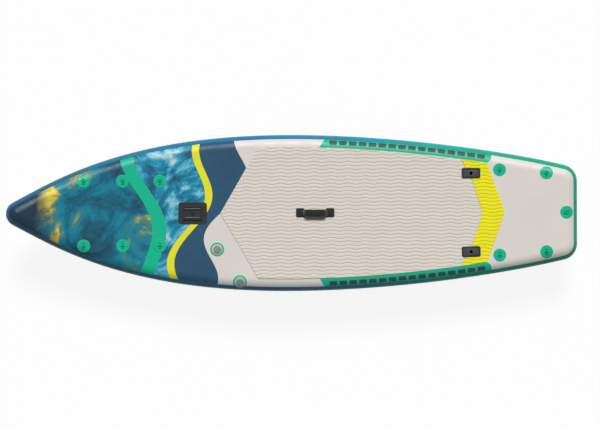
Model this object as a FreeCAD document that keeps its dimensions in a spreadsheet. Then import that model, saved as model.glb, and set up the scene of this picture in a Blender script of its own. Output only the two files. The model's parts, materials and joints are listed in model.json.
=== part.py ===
import FreeCAD, Part
import math
import os
import re
from types import SimpleNamespace

import Sketcher
from FreeCAD import Placement, Rotation, Vector

# Inflatable stand up paddleboard. The origin lies on the flat of the bottom, on the centreline
# at mid length: +X runs to the tail, +Y to starboard and +Z up through the deck.

# Driving sizes in millimetres, and angles in degrees, one sheet cell each
SIZES = [
    # Hull
    ("board_length", 3505.0),
    ("board_beam", 965.0),
    ("board_thickness", 152.0),
    ("sheet_wall", 2.0),
    ("nose_rocker_length", 1030.0),
    ("nose_rocker_rise", 165.0),
    ("tail_rocker_length", 400.0),
    ("tail_rocker_rise", 12.0),
    ("nose_angle", 30.0),
    ("tail_side_angle", 13.5),
    ("tail_corner_radius", 25.0),
    ("row_spacing", 90.0),
    ("thread_wall", 1.0),
    ("valve_thread_room", 40.0),
    ("valve_panel_reach", 60.0),
    # Skins laid on the hull
    ("tape_wall", 1.2),
    ("tape_inset", 28.0),
    ("seam_patch_width", 120.0),
    ("patch_wall", 1.2),
    ("strip_slant", 30.0),
    ("strip_wall", 0.7),
    ("mark_length", 47.0),
    ("mark_width", 26.0),
    ("mark_wall", 0.4),
    # Deck pads
    ("pad_wall", 5.0),
    ("kick_gap", 3.0),
    ("pad_cutout_gap", 2.0),
    # Carry handle
    ("handle_length", 220.0),
    ("handle_width", 38.0),
    ("handle_wall", 3.0),
    ("handle_height", 34.0),
    ("grip_length", 124.0),
    ("grip_end_gap", 5.0),
    ("grip_width", 34.0),
    ("grip_drop", 7.0),
    ("grip_corner", 8.0),
    ("handle_patch_length", 52.0),
    ("handle_patch_width", 56.0),
    ("handle_patch_corner", 5.0),
    ("strap_foot_length", 36.0),
    # Accessory mounts on the deck
    ("front_mount_length", 176.0),
    ("front_mount_width", 134.0),
    ("front_mount_corner", 18.0),
    ("front_mount_wall", 2.5),
    ("frame_length", 120.0),
    ("frame_width", 82.0),
    ("frame_height", 11.0),
    ("frame_rim", 6.0),
    ("frame_floor", 3.0),
    ("rail_bar_length", 100.0),
    ("rail_bar_width", 7.0),
    ("rail_bar_height", 8.5),
    ("rail_bar_y", 27.6),
    ("rail_bar_corner", 2.0),
    ("socket_radius", 9.0),
    ("socket_bore", 5.1),
    ("rear_mount_length", 114.0),
    ("rear_mount_width", 63.0),
    ("rear_mount_corner", 12.0),
    ("rear_mount_wall", 8.0),
    ("rear_mount_rim", 9.0),
    ("rear_mount_recess", 3.0),
    ("rear_mount_toe", 2.0),
    # Towing and lashing rings
    ("ring_patch_radius", 40.0),
    ("leash_ring_inset", 72.5),
    ("ring_wire", 1.5),
    ("ring_half_width", 11.8),
    ("ring_leg", 2.0),
    ("ring_gap", 0.3),
    ("tab_wall", 1.2),
    ("tab_leaf_wall", 1.8),
    ("tab_width", 17.0),
    ("tab_length", 20.0),
    ("tab_seat_gap", 0.15),
    # Valves
    ("side_valve_out", 26.6),
    ("valve_patch_radius", 43.0),
    ("valve_patch_depth", 30.0),
    ("valve_flange_radius", 32.0),
    ("valve_flange_wall", 3.0),
    ("valve_collar_radius", 23.2),
    ("valve_collar_height", 2.2),
    ("valve_mouth_radius", 15.0),
    ("valve_lip_radius", 11.0),
    ("valve_lip_depth", 10.4),
    ("valve_lip_wall", 3.0),
    ("valve_barrel_radius", 19.5),
    ("valve_barrel_bore", 16.5),
    ("valve_barrel_length", 32.0),
    ("valve_hole_gap", 0.3),
    ("valve_hub_radius", 4.5),
    ("valve_hub_height", 4.0),
    ("valve_arm_width", 3.0),
    ("valve_stem_radius", 2.5),
    ("valve_stem_gap", 0.1),
    ("valve_stem_reach", 3.0),
    ("valve_button_radius", 6.0),
    ("valve_button_wall", 1.5),
    ("valve_button_drop", 0.5),
    ("valve_disc_radius", 14.0),
    ("valve_disc_wall", 2.5),
    ("valve_seal_wall", 1.0),
    ("valve_seal_bore", 6.0),
    ("spring_radius", 5.5),
    ("spring_wire", 1.1),
    ("nut_radius", 27.0),
    ("nut_wall", 8.0),
    ("cap_ring_gap", 0.1),
    ("cap_ring_wall", 3.0),
    ("cap_ring_height", 1.9),
    ("cap_ring_lug", 3.0),
    ("cap_gap", 0.3),
    ("cap_radius", 22.0),
    ("cap_wall", 4.0),
    ("cap_edge", 1.0),
    ("cap_plug_gap", 0.8),
    ("cap_plug_wall", 2.2),
    ("cap_plug_depth", 4.0),
    ("cap_grip_width", 6.0),
    ("cap_grip_length", 34.0),
    ("cap_grip_height", 3.0),
    ("cap_strap_width", 10.0),
    ("cap_strap_wall", 1.2),
    # Fins
    ("fin_plate_length", 210.0),
    ("fin_plate_width", 84.0),
    ("fin_plate_corner", 14.0),
    ("fin_plate_wall", 2.5),
    ("fin_box_length", 160.0),
    ("fin_box_width", 36.0),
    ("fin_box_height", 20.0),
    ("fin_box_stop", 8.0),
    ("fin_head_width", 19.0),
    ("fin_head_height", 6.0),
    ("fin_neck_width", 9.0),
    ("fin_neck_height", 8.0),
    ("fin_slot_gap", 0.4),
    ("fin_foot_width", 30.0),
    ("fin_foot_height", 6.0),
    ("fin_chord", 126.0),
    ("fin_tip_chord", 46.0),
    ("fin_depth", 215.0),
    ("fin_rake", 118.0),
    ("fin_blade_wall", 9.0),
    ("fin_blade_setback", 3.0),
    ("lever_length", 34.0),
    ("lever_width", 12.0),
    ("lever_notch", 14.0),
    ("lever_notch_room", 2.0),
    ("lever_inset", 26.0),
    ("lever_wall", 5.0),
    ("lever_pin_radius", 1.5),
    ("lever_pin_gap", 0.1),
    ("side_plate_length", 150.0),
    ("side_plate_width", 44.0),
    ("side_plate_wall", 3.0),
    ("side_plate_corner", 12.0),
    ("side_fin_chord", 104.0),
    ("side_fin_tip_chord", 38.0),
    ("side_fin_depth", 112.0),
    ("side_fin_rake", 62.0),
    ("side_fin_wall", 6.0),
    ("cut_overrun", 2.0),
]

# Middle line of the rail in plan from nose to tail: share of its length, share of its half beam
SPINE_SHARES = [
    (0.0, 0.0), (0.034, 0.158), (0.084, 0.370), (0.150, 0.593), (0.217, 0.757), (0.301, 0.894),
    (0.402, 0.979), (0.486, 1.0), (0.605, 0.973), (0.741, 0.880), (0.877, 0.727), (1.0, 0.5245),
]
# Places on the hull: share of the spine's half length from mid length, share of its half beam
PLACE_SHARES = {
    "handle": (0.0812, 0.0),
    "front_mount": (-0.3677, 0.0),
    "rear_mount": (0.6524, 0.5946),
    "ring_front_a": (-0.7646, 0.4885),
    "ring_front_b": (-0.6235, 0.4885),
    "ring_front_c": (-0.4877, 0.4885),
    "ring_rear_a": (0.7575, 0.6464),
    "ring_rear_b": (0.9291, 0.5971),
    "main_valve": (-0.2782, 0.5477),
    "side_valve": (-0.1952, 0.979),
    "rest_face_end": (0.573, 0.0),
    "strip_start": (0.1009, 0.0),
    "strip_end": (0.724, 0.0),
    "first_mark": (0.1468, 0.0),
    "last_mark": (0.6872, 0.0),
    "fin": (0.7432, 0.0),
    "side_fin": (0.6476, 0.5058),
}
# Starboard half of the deck pad's outline and of the tail pad's rear edge, in the same shares
PAD_SHARES = [
    (-0.2662, 0.0), (-0.1134, 1.1004), (0.6232, 1.1004), (0.6232, 0.8241), (0.6572, 0.4688), (0.6906, 0.0493),
]
KICK_SHARES = [(0.7103, 1.1004), (0.7103, 0.8389), (0.7151, 0.7131), (0.7742, 0.0222), (0.7742, 0.0)]
# Middle of the scale marks: share of the strip's width from the spine
MARK_SHARE = 0.65
# Foil section: share of the chord from the leading edge, share of the half thickness
FOIL_SHARES = [(0.0, 0.0), (0.05, 0.58), (0.15, 0.87), (0.32, 1.0), (0.62, 0.78), (1.0, 0.12)]
# Blade stations: share of the depth, of the rake and of the taper from root chord to tip chord
BLADE_SHARES = [
    (0.0, 0.0, 0.0), (0.25, 0.13, 0.20), (0.50, 0.36, 0.42),
    (0.75, 0.66, 0.66), (0.93, 0.92, 0.86), (1.0, 1.05, 1.0),
]

# Seams of the hull's panels: the rings that stand on them, and the rail stations from seam to seam
SEAM_RINGS = ("ring_front_a", "ring_front_b", "ring_front_c", "ring_rear_a", "ring_rear_b")
SEAM_STATIONS = (3, 2, 2, 2, 1, 5, 2, 1)
CORNER_STATIONS = 3
FLANK_STEPS = 3
SHOULDER_STEPS = 3
PATCH_SIDES = 16
TAB_SIDES = 6
MARK_COUNT = 16
NUT_SIDES = 12
SPIDER_ARMS = 3
SPRING_TURNS = 4
SPRING_STEPS = 8
BODY_SIDES = 24
CAP_SIDES = 32
DISC_SIDES = 24
STEM_SIDES = 12
BOW_SIDES = 6
# Least share of a unit tangent for an edge to count as lying along an axis
ALONG_SHARE = 0.99

doc = FreeCAD.newDocument("paddleboard")
sheet = doc.addObject("Spreadsheet::Sheet", "sizes")
for row, (alias, value) in enumerate(SIZES, start=1):
    sheet.set("A%d" % row, alias)
    sheet.set("B%d" % row, str(value))
    sheet.setAlias("B%d" % row, alias)
doc.recompute()
d = SimpleNamespace(**{alias: float(sheet.get(alias)) for alias, value in SIZES})
ALIASES = set(alias for alias, value in SIZES)

AXIS_X = Vector(1, 0, 0)
AXIS_Y = Vector(0, 1, 0)
AXIS_Z = Vector(0, 0, 1)
ORIGIN = Vector(0, 0, 0)

rail_radius = d.board_thickness / 2
rail_reach = rail_radius + d.tape_wall
spine_end = d.board_length / 2 - rail_reach
spine_half_beam = d.board_beam / 2 - rail_reach
nose_rocker_x = d.nose_rocker_length - d.board_length / 2
tail_rocker_x = d.board_length / 2 - d.tail_rocker_length
tape_angle = math.degrees(math.acos((rail_reach - d.tape_inset) / rail_radius))
flank_angles = [tape_angle * k / FLANK_STEPS for k in range(FLANK_STEPS)]
shoulder_angles = [tape_angle + (90 - tape_angle) * k / SHOULDER_STEPS for k in range(SHOULDER_STEPS + 1)]
rail_angles = sorted(set([-a for a in flank_angles + shoulder_angles] + flank_angles + shoulder_angles))
parts = []


def cell(text):
    """Expression in which each word that names a size points at its sheet cell."""
    return re.sub(r"[a-z_]+", lambda m: "sizes." + m.group(0) if m.group(0) in ALIASES else m.group(0), text)


def spot(name):
    """Plan place of a named share pair on the starboard half."""
    length, beam = PLACE_SHARES[name]
    return spine_end * length, spine_half_beam * beam


def keep(name, obj):
    """Marks an object as a sub-part whose label names its file."""
    obj.Label = name
    parts.append(obj)
    return obj


def shape_part(name, shape, placement=None):
    """Sub-part whose outline follows the hull and is made as one shape."""
    obj = doc.addObject("Part::Feature", name)
    obj.Shape = shape
    if placement is not None:
        obj.Placement = placement
    return keep(name, obj)


# Hull form

def rocker(x):
    """Rise and slope of the hull's middle line above its flat run."""
    bends = (
        (nose_rocker_x, d.nose_rocker_length, d.nose_rocker_rise, -1),
        (tail_rocker_x, d.tail_rocker_length, d.tail_rocker_rise, 1),
    )
    for start, length, rise, way in bends:
        run = way * (x - start)
        if run > 0:
            radius = (length ** 2 + rise ** 2) / (2 * rise)
            fall = math.sqrt(radius ** 2 - run ** 2)
            return radius - fall, way * run / fall
    return 0.0, 0.0


def deck_height(x):
    return d.board_thickness + rocker(x)[0]


ring_seams = [spot(name)[0] for name in SEAM_RINGS]
side_valve_x = spot("side_valve")[0]
valve_seams = [side_valve_x + way * d.valve_panel_reach for way in (-1, 1)]
wall_seams = sorted(ring_seams + valve_seams)


def spine_stations():
    """Points of the starboard spine in plan, round the tail corner to the centreline."""
    side = math.radians(d.tail_side_angle)
    nose = math.radians(d.nose_angle)
    along = Vector(math.cos(side), -math.sin(side), 0)
    corner_turn = math.pi / 2 - side
    corner_run = d.tail_corner_radius * math.tan(corner_turn / 2)
    points = [
        Vector(2 * spine_end * length - spine_end, spine_half_beam * beam, 0)
        for length, beam in SPINE_SHARES
    ]
    points[-1] = points[-1] - along * corner_run
    coarse = Part.BSplineCurve()
    coarse.interpolate(
        Points=points, InitialTangent=Vector(math.cos(nose), math.sin(nose), 0), FinalTangent=along)
    seams = [coarse.FirstParameter]
    for x in wall_seams:
        cross = coarse.intersectCS(Part.Plane(Vector(x, 0, 0), AXIS_X))[0][0]
        seams.append(coarse.parameter(Vector(cross.X, cross.Y, cross.Z)))
    seams.append(coarse.LastParameter)
    stations = [coarse.value(seams[0])]
    for fore, aft, count in zip(seams, seams[1:], SEAM_STATIONS):
        stations += [coarse.value(fore + (aft - fore) * k / count) for k in range(1, count + 1)]
    inward = Vector(-math.sin(side), -math.cos(side), 0)
    centre = points[-1] + inward * d.tail_corner_radius
    for k in range(1, CORNER_STATIONS + 1):
        turn = corner_turn * k / CORNER_STATIONS
        spoke = Rotation(AXIS_Z, -math.degrees(turn)).multVec(-inward)
        stations.append(centre + spoke * d.tail_corner_radius)
    stations.append(Vector(spine_end, 0, 0))
    return stations


def outward(points, k):
    """Level direction away from the hull at a station of the spine."""
    if k == len(points) - 1:
        return AXIS_X
    spokes = [(b - a).normalize() for a, b in zip(points[max(k - 1, 0):k + 1], points[max(k, 1):k + 2])]
    along = Vector(0, 0, 0)
    for spoke in spokes:
        along = along + spoke
    return AXIS_Z.cross(along).normalize()


plan_points = spine_stations()
spine_outs = [outward(plan_points, k) for k in range(len(plan_points))]
spine_points = [Vector(p.x, p.y, rail_radius + rocker(p.x)[0]) for p in plan_points]


def spine_half_width(x):
    """Half width between the spines at x."""
    lows = [p for p in plan_points if p.x <= x]
    highs = [p for p in plan_points if p.x > x]
    a = lows[-1]
    b = highs[0]
    return a.y + (b.y - a.y) * (x - a.x) / (b.x - a.x)


def line_profile(height, start, end):
    """Edges along the rocker line at a height over the flat bottom, broken where it bends."""
    stops = [x for x in (nose_rocker_x, tail_rocker_x) if start < x < end]
    stops = [start] + sorted(stops) + [end]
    edges = []
    for a, b in zip(stops, stops[1:]):
        middle = (a + b) / 2
        p, q, m = (Vector(x, 0, height + rocker(x)[0]) for x in (a, b, middle))
        if rocker(middle)[0] == 0:
            edges.append(Part.LineSegment(p, q).toShape())
        else:
            edges.append(Part.Arc(p, m, q).toShape())
    return edges


def hull_band(low, high, start, end, half_width):
    """Slab that follows the rocker between two heights, centred on the centreline."""
    under = line_profile(low, start, end)
    over = line_profile(high, start, end)
    ends = []
    for x in (start, end):
        rise = rocker(x)[0]
        ends.append(Part.LineSegment(Vector(x, 0, low + rise), Vector(x, 0, high + rise)).toShape())
    wire = Part.Wire(Part.__sortEdges__(under + over + ends))
    face = Part.Face(wire)
    face.translate(Vector(0, -half_width, 0))
    return face.extrude(Vector(0, 2 * half_width, 0))


def rail_profile(centre, out, inner, outer, low, high):
    """Ring sector in the upright plane of a spine station, between angles above the horizontal."""
    def at(radius, angle):
        turn = math.radians(angle)
        return centre + out * (radius * math.cos(turn)) + AXIS_Z * (radius * math.sin(turn))

    turns = [angle for angle in rail_angles if low <= angle <= high]
    points = [at(outer, angle) for angle in turns]
    if inner > 0:
        points += [at(inner, angle) for angle in reversed(turns)]
    return Part.makePolygon(points + points[:1])


def rail_layer(inner, outer, low, high, stations=slice(None)):
    """Rail layer along the starboard spine, from the nose's end plane to the tail centre."""
    profiles = [
        rail_profile(centre, out, inner, outer, low, high)
        for centre, out in zip(spine_points[stations], spine_outs[stations])
    ]
    return Part.makeLoft(profiles, True, True)


def nose_turn(inner, outer, low, high):
    """Half of a rail layer's round end at the nose tip."""
    face = Part.Face(rail_profile(spine_points[0], spine_outs[0], inner, outer, low, high))
    angle = 180 - math.degrees(math.atan2(spine_outs[0].y, spine_outs[0].x))
    return face.revolve(spine_points[0], AXIS_Z, angle)


def mirrored(shape):
    return shape.mirror(ORIGIN, AXIS_Y)


def one_solid(shape):
    return shape.Solids[0] if len(shape.Solids) == 1 else shape


def block(x0, x1, y0, y1, z0, z1):
    return Part.makeBox(x1 - x0, y1 - y0, z1 - z0, Vector(x0, y0, z0))


def prism(outline, low, high):
    """Upright prism over a closed outline of plan points."""
    points = [Vector(x, y, low) for x, y in outline]
    face = Part.Face(Part.makePolygon(points + points[:1]))
    return face.extrude(Vector(0, 0, high - low))


def edges_along(shape, axis):
    """Edges of a shape that start along an axis."""
    return [e for e in shape.Edges if abs(e.tangentAt(e.FirstParameter).dot(axis)) > ALONG_SHARE]


def clipped_plate(length, width, height, corner):
    """Plate with its corners cut off, centred on the origin and standing on it."""
    box = block(-length / 2, length / 2, -width / 2, width / 2, 0, height)
    return box.makeChamfer(corner, edges_along(box, AXIS_Z))


def round_prism(radius, sides, low, high):
    """Upright prism whose flats touch a circle round the Z axis."""
    reach = radius / math.cos(math.pi / sides)
    turns = [2 * math.pi * (k + 1 / 2) / sides for k in range(sides)]
    return prism([(reach * math.cos(turn), reach * math.sin(turn)) for turn in turns], low, high)


# Places of what stands on the hull

deck = d.board_thickness
main_valve_x, main_valve_y = spot("main_valve")
side_valve_y = spine_half_width(side_valve_x) + d.side_valve_out
side_valve_tilt = math.degrees(math.asin(d.side_valve_out / rail_radius))
valve_places = {
    "main": Placement(Vector(main_valve_x, -main_valve_y, deck), Rotation()),
    "side": Placement(
        Vector(
            side_valve_x, -side_valve_y,
            rail_radius + rail_radius * math.cos(math.radians(side_valve_tilt))),
        Rotation(AXIS_X, side_valve_tilt)),
}


def deck_place(x, y, yaw):
    """Seat on the deck at x, y, pitched with the rocker."""
    pitch = -math.degrees(math.atan(rocker(x)[1]))
    return Placement(Vector(x, y, deck_height(x)), Rotation(AXIS_Y, pitch) * Rotation(AXIS_Z, yaw))


def bridge_place(x, y, length, yaw=0):
    """Seat of a stiff plate whose ends rest on the deck."""
    fore = deck_height(x - length / 2)
    aft = deck_height(x + length / 2)
    pitch = -math.degrees(math.atan2(aft - fore, length))
    return Placement(Vector(x, y, (fore + aft) / 2), Rotation(AXIS_Y, pitch) * Rotation(AXIS_Z, yaw))


def mount_place(side):
    """Seat of a rear mount on the deck, toed out a little on the port side."""
    x, y = spot("rear_mount")
    return bridge_place(x, side * y, d.rear_mount_length, d.rear_mount_toe if side < 0 else 0)


ring_stations = {}
for tag in ("front_a", "front_b", "front_c", "rear_a", "rear_b"):
    x, y = spot("ring_" + tag)
    ring_stations[tag + "_starboard"] = (x, y, 0)
    ring_stations[tag + "_port"] = (x, -y, 180)
ring_stations["leash"] = (d.board_length / 2 - d.leash_ring_inset, 0.0, -90)

# Hull shell

inside = prism(
    [(p.x, p.y) for p in plan_points] + [(p.x, -p.y) for p in plan_points[-2:0:-1]],
    -deck, 2 * deck + d.nose_rocker_rise)
full_half = d.board_beam / 2
hole_radius = d.valve_barrel_radius + d.valve_hole_gap


def valve_drill(name, radius):
    """Drill through the wall along a valve's axis."""
    drill = Part.makeCylinder(radius, 2 * d.valve_patch_depth, Vector(0, 0, -d.valve_patch_depth))
    drill.Placement = valve_places[name]
    return drill


panel_ends = sorted([-spine_end, nose_rocker_x, spine_end] + ring_seams)
bottom_ends = sorted(panel_ends + [spot("rest_face_end")[0]])


def sheet_panels(low, high, seams):
    """Panels of a sheet between two heights, from seam to seam."""
    bands = [hull_band(low, high, fore, aft, full_half) for fore, aft in zip(seams, seams[1:])]
    return [one_solid(band.common(inside)) for band in bands]


main_drill = valve_drill("main", hole_radius)
deck_panels = [one_solid(p.cut(main_drill)) for p in sheet_panels(deck - d.sheet_wall, deck, panel_ends)]
shape_part("deck_sheet", Part.makeCompound(deck_panels))
shape_part("bottom_sheet", Part.makeCompound(sheet_panels(0, d.sheet_wall, bottom_ends)))

rail_inner = rail_radius - d.sheet_wall
seam_ends = [sum(SEAM_STATIONS[:k]) for k in range(len(SEAM_STATIONS))] + [len(spine_points) - 1]


def wall_panel(k, low=-90, high=90):
    """One panel of the starboard rail wall, from seam to seam."""
    return rail_layer(rail_inner, rail_radius, low, high, slice(seam_ends[k], seam_ends[k + 1] + 1))


wall_panels = [wall_panel(k) for k in range(len(SEAM_STATIONS))]
wall_panels[0] = one_solid(wall_panels[0].fuse(nose_turn(rail_inner, rail_radius, -90, 90)))
shape_part("rail_wall_starboard", Part.makeCompound(wall_panels))
valve_panel = sum(x < side_valve_x for x in wall_seams)
wall_panels[valve_panel:valve_panel + 1] = [wall_panel(valve_panel, -90, 0), wall_panel(valve_panel, 0, 90)]
side_drill = valve_drill("side", hole_radius)
shape_part("rail_wall_port", Part.makeCompound([one_solid(mirrored(w).cut(side_drill)) for w in wall_panels]))

tape_half = rail_layer(rail_radius, rail_reach, -tape_angle, tape_angle)
tail_window = block(
    spine_end, d.board_length, -d.seam_patch_width / 2, d.seam_patch_width / 2,
    -d.board_thickness, 2 * d.board_thickness)
shape_part("rail_tape_starboard", one_solid(tape_half.cut(tail_window)))
shape_part("rail_tape_port", one_solid(mirrored(tape_half).cut(tail_window)))
nose_half = nose_turn(rail_radius, rail_reach, -tape_angle, tape_angle)
tail_half = tape_half.common(tail_window)
shape_part("seam_patches", Part.makeCompound([
    one_solid(half.fuse(mirrored(half))) for half in (nose_half, tail_half)]))

# Rows of drop threads between the sheets

row_count = int(spine_half_beam // d.row_spacing)
curtain = hull_band(d.sheet_wall, deck - d.sheet_wall, -spine_end, spine_end, d.thread_wall / 2)
valve_room = Part.makeCylinder(d.valve_thread_room, deck, Vector(main_valve_x, -main_valve_y, 0))
rows = []
for k in range(-row_count, row_count + 1):
    row = curtain.copy()
    row.translate(Vector(0, k * d.row_spacing, 0))
    rows.append(row.common(inside).cut(valve_room))
shape_part("thread_rows", Part.makeCompound([s for row in rows for s in row.Solids]))

# Ruler strips and their marks on the shoulders

strip_layer = rail_layer(rail_radius, rail_radius + d.strip_wall, tape_angle, 90)
strip_reach = math.cos(math.radians(tape_angle)) * rail_radius
strip_start = spot("strip_start")[0]
strip_end = spot("strip_end")[0]
strip_bend = strip_end - d.strip_slant
tail_side_y = spine_half_width(strip_end)
strip_outline = [
    (strip_start, 0), (strip_bend, 0), (strip_bend, tail_side_y), (strip_end, tail_side_y + strip_reach / 2),
    (strip_bend, tail_side_y + strip_reach), (strip_bend, full_half), (strip_start + d.strip_slant, full_half),
    (strip_start, spine_half_width(strip_start)),
]
strip_half = strip_layer.common(prism(strip_outline, 0, 2 * d.board_thickness))
shape_part("ruler_strip_starboard", one_solid(strip_half))
shape_part("ruler_strip_port", one_solid(mirrored(strip_half)))

mark_layer = rail_layer(
    rail_radius + d.strip_wall, rail_radius + d.strip_wall + d.mark_wall, tape_angle, 90)
first_mark = spot("first_mark")[0]
mark_spacing = (spot("last_mark")[0] - first_mark) / (MARK_COUNT - 1)
marks = []
for k in range(MARK_COUNT):
    x = first_mark + k * mark_spacing
    middle = spine_half_width(x) + strip_reach * MARK_SHARE
    slope = spine_half_width(x + d.mark_length) - spine_half_width(x)
    stamp = block(
        -d.mark_length / 2, d.mark_length / 2, -d.mark_width / 2, d.mark_width / 2,
        rail_radius, 2 * d.board_thickness)
    stamp.Placement = Placement(
        Vector(x, middle, 0), Rotation(AXIS_Z, math.degrees(math.atan2(slope, d.mark_length))))
    marks.extend(mark_layer.common(stamp).Solids)
shape_part("ruler_marks_starboard", Part.makeCompound(marks))
shape_part("ruler_marks_port", Part.makeCompound([mirrored(mark) for mark in marks]))

# Deck pads

def deck_outline(shares, gap=0.0):
    """Plan points of a table of shares, shifted aft by a gap."""
    return [(spine_end * length + gap, spine_half_beam * beam) for length, beam in shares]


def both_sides(outline):
    """Whole outline from its starboard half."""
    return outline + [(x, -y) for x, y in reversed(outline) if y > 0]


pad_outline = deck_outline(PAD_SHARES)
kick_front = deck_outline(PAD_SHARES[:1:-1], d.kick_gap)
kick_outline = [(kick_front[0][0], 0)] + kick_front + deck_outline(KICK_SHARES)
handle_x = spot("handle")[0]
handle_seats = [
    handle_x + way * (d.handle_length - d.strap_foot_length) / 2 for way in (-1, 1)]
cutouts = []
for x in handle_seats:
    hole = clipped_plate(
        d.handle_patch_length + 2 * d.pad_cutout_gap, d.handle_patch_width + 2 * d.pad_cutout_gap,
        2 * d.pad_wall, d.handle_patch_corner)
    hole.translate(Vector(x, 0, deck - d.pad_wall / 2))
    cutouts.append(hole)
for side in (1, -1):
    hole = clipped_plate(
        d.rear_mount_length + 2 * d.pad_cutout_gap, d.rear_mount_width + 2 * d.pad_cutout_gap,
        2 * d.pad_wall, d.rear_mount_corner / 2)
    hole.Placement = mount_place(side)
    hole.translate(Vector(0, 0, -d.pad_wall / 2))
    cutouts.append(hole)
foam = hull_band(deck, deck + d.pad_wall, -spine_end, spine_end, full_half).common(inside)
for name, half_plan in (("deck_pad", pad_outline), ("tail_pad", kick_outline)):
    slab = foam.common(prism(both_sides(half_plan), 0, 2 * deck + d.nose_rocker_rise))
    shape_part(name, Part.makeCompound(slab.cut(cutouts).Solids))

# Round patches under the rings, and seats of the valves

deck_layer = hull_band(deck, deck + d.patch_wall, -spine_end, spine_end, full_half).common(inside)
shoulder_layer = rail_layer(rail_radius, rail_radius + d.patch_wall, 0, 90)
shoulder_layers = {1: shoulder_layer, -1: mirrored(shoulder_layer)}
patches = []
for x, y, yaw in ring_stations.values():
    disc = round_prism(d.ring_patch_radius, PATCH_SIDES, rail_radius, 2 * deck)
    disc.translate(Vector(x, y, rocker(x)[0]))
    pieces = [deck_layer.common(disc)]
    for side in (1, -1):
        if y * side >= 0:
            pieces.append(shoulder_layers[side].common(disc))
    solids = [s for piece in pieces for s in piece.Solids]
    whole = solids[0].fuse(solids[1:]) if len(solids) > 1 else solids[0]
    patches.append(one_solid(whole))
shape_part("ring_patches", Part.makeCompound(patches))

rail_fill = mirrored(rail_layer(0, rail_radius, -90, 90))
slab_fill = hull_band(0, deck, -spine_end, spine_end, full_half).common(inside)
valve_seats = []
for name, place in valve_places.items():
    seat = round_prism(d.valve_patch_radius, 2 * PATCH_SIDES, -d.valve_patch_depth, d.patch_wall)
    seat = seat.cut(Part.makeCylinder(
        hole_radius, 3 * d.valve_patch_depth, Vector(0, 0, -2 * d.valve_patch_depth)))
    seat.Placement = place
    seat = seat.cut(slab_fill)
    if name == "side":
        seat = seat.cut(rail_fill).cut(mirrored(tape_half))
    valve_seats.append(one_solid(seat))
shape_part("valve_patches", Part.makeCompound(valve_seats))


# Parametric bodies

def add_body(name):
    return doc.addObject("PartDesign::Body", name)


def primitive(kind, name, base=("0", "0", "0"), rotation=None, **cells):
    """Part primitive whose sizes and place are expressions."""
    obj = doc.addObject("Part::" + kind, name)
    if rotation is not None:
        obj.Placement = Placement(ORIGIN, rotation)
    for prop, text in cells.items():
        obj.setExpression(prop, cell(text))
    for letter, text in zip("xyz", base):
        obj.setExpression("Placement.Base." + letter, cell(text))
    return obj


def upright_prism(name, sides, radius, low, tall):
    """Many-sided prism round the local Z axis."""
    obj = primitive("Prism", name, ("0", "0", low), Circumradius=radius, Height=tall)
    obj.Polygon = sides
    return obj


def fused(name, shapes):
    obj = doc.addObject("Part::MultiFuse", name)
    obj.Shapes = shapes
    return obj


def less(name, base, tool):
    obj = doc.addObject("Part::Cut", name)
    obj.Base = base
    obj.Tool = tool
    return obj


def together(name, objects):
    """One node of like pieces that stay separate solids."""
    obj = doc.addObject("Part::Compound", name)
    obj.Links = objects
    return keep(name, obj)


def add_sketch(body, role, name, offset="0"):
    """Sketch on one of the body's own origin planes, moved along its normal."""
    sketch = body.newObject("Sketcher::SketchObject", name)
    plane = next(f for f in body.Origin.OriginFeatures if f.Role == role)
    sketch.AttachmentSupport = (plane, [""])
    sketch.MapMode = "FlatFace"
    sketch.setExpression("AttachmentOffset.Base.z", cell(offset))
    return sketch


def outline(sketch, corners):
    """Closed outline of straight lines whose corners are pairs of expressions."""
    first = sketch.GeometryCount
    count = len(corners)
    ring = [
        Vector(math.cos(2 * math.pi * k / count), math.sin(2 * math.pi * k / count), 0)
        for k in range(count)
    ]
    for k in range(count):
        sketch.addGeometry(Part.LineSegment(ring[k], ring[(k + 1) % count]))
    for k in range(count):
        after = first + (k + 1) % count
        sketch.addConstraint(Sketcher.Constraint("Coincident", first + k, 2, after, 1))
    for k, (across, up) in enumerate(corners):
        for kind, text in (("DistanceX", across), ("DistanceY", up)):
            index = sketch.addConstraint(Sketcher.Constraint(kind, -1, 1, first + k, 1, 0.5))
            sketch.setExpression("Constraints[%d]" % index, cell(text))


def rectangle(sketch, x0, x1, y0, y1):
    outline(sketch, [(x0, y0), (x1, y0), (x1, y1), (x0, y1)])


def circle(sketch, radius, across="0", up="0"):
    index = sketch.addGeometry(Part.Circle(ORIGIN, AXIS_Z, 1.0))
    for kind, text in (("DistanceX", across), ("DistanceY", up)):
        number = sketch.addConstraint(Sketcher.Constraint(kind, -1, 1, index, 3, 0.5))
        sketch.setExpression("Constraints[%d]" % number, cell(text))
    number = sketch.addConstraint(Sketcher.Constraint("Radius", index, 1.0))
    sketch.setExpression("Constraints[%d]" % number, cell(radius))


def pad(body, sketch, name, length, reverse=False):
    feature = body.newObject("PartDesign::Pad", name)
    feature.Profile = sketch
    feature.setExpression("Length", cell(length))
    feature.Reversed = reverse
    return feature


def pocket(body, sketch, name, length, reverse=False):
    feature = body.newObject("PartDesign::Pocket", name)
    feature.Profile = sketch
    feature.setExpression("Length", cell(length))
    feature.Reversed = reverse
    return feature


def round_uprights(body, feature, name, radius):
    """Rounds the upright corners of a feature."""
    doc.recompute()
    names = []
    for k, edge in enumerate(feature.Shape.Edges, start=1):
        if len(edge.Vertexes) == 2 and abs(edge.tangentAt(edge.FirstParameter).z) > ALONG_SHARE:
            names.append("Edge%d" % k)
    fillet = body.newObject("PartDesign::Fillet", name)
    fillet.Base = (feature, names)
    fillet.setExpression("Radius", cell(radius))
    return fillet


# Valves, along their own axis from the hull's skin

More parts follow.
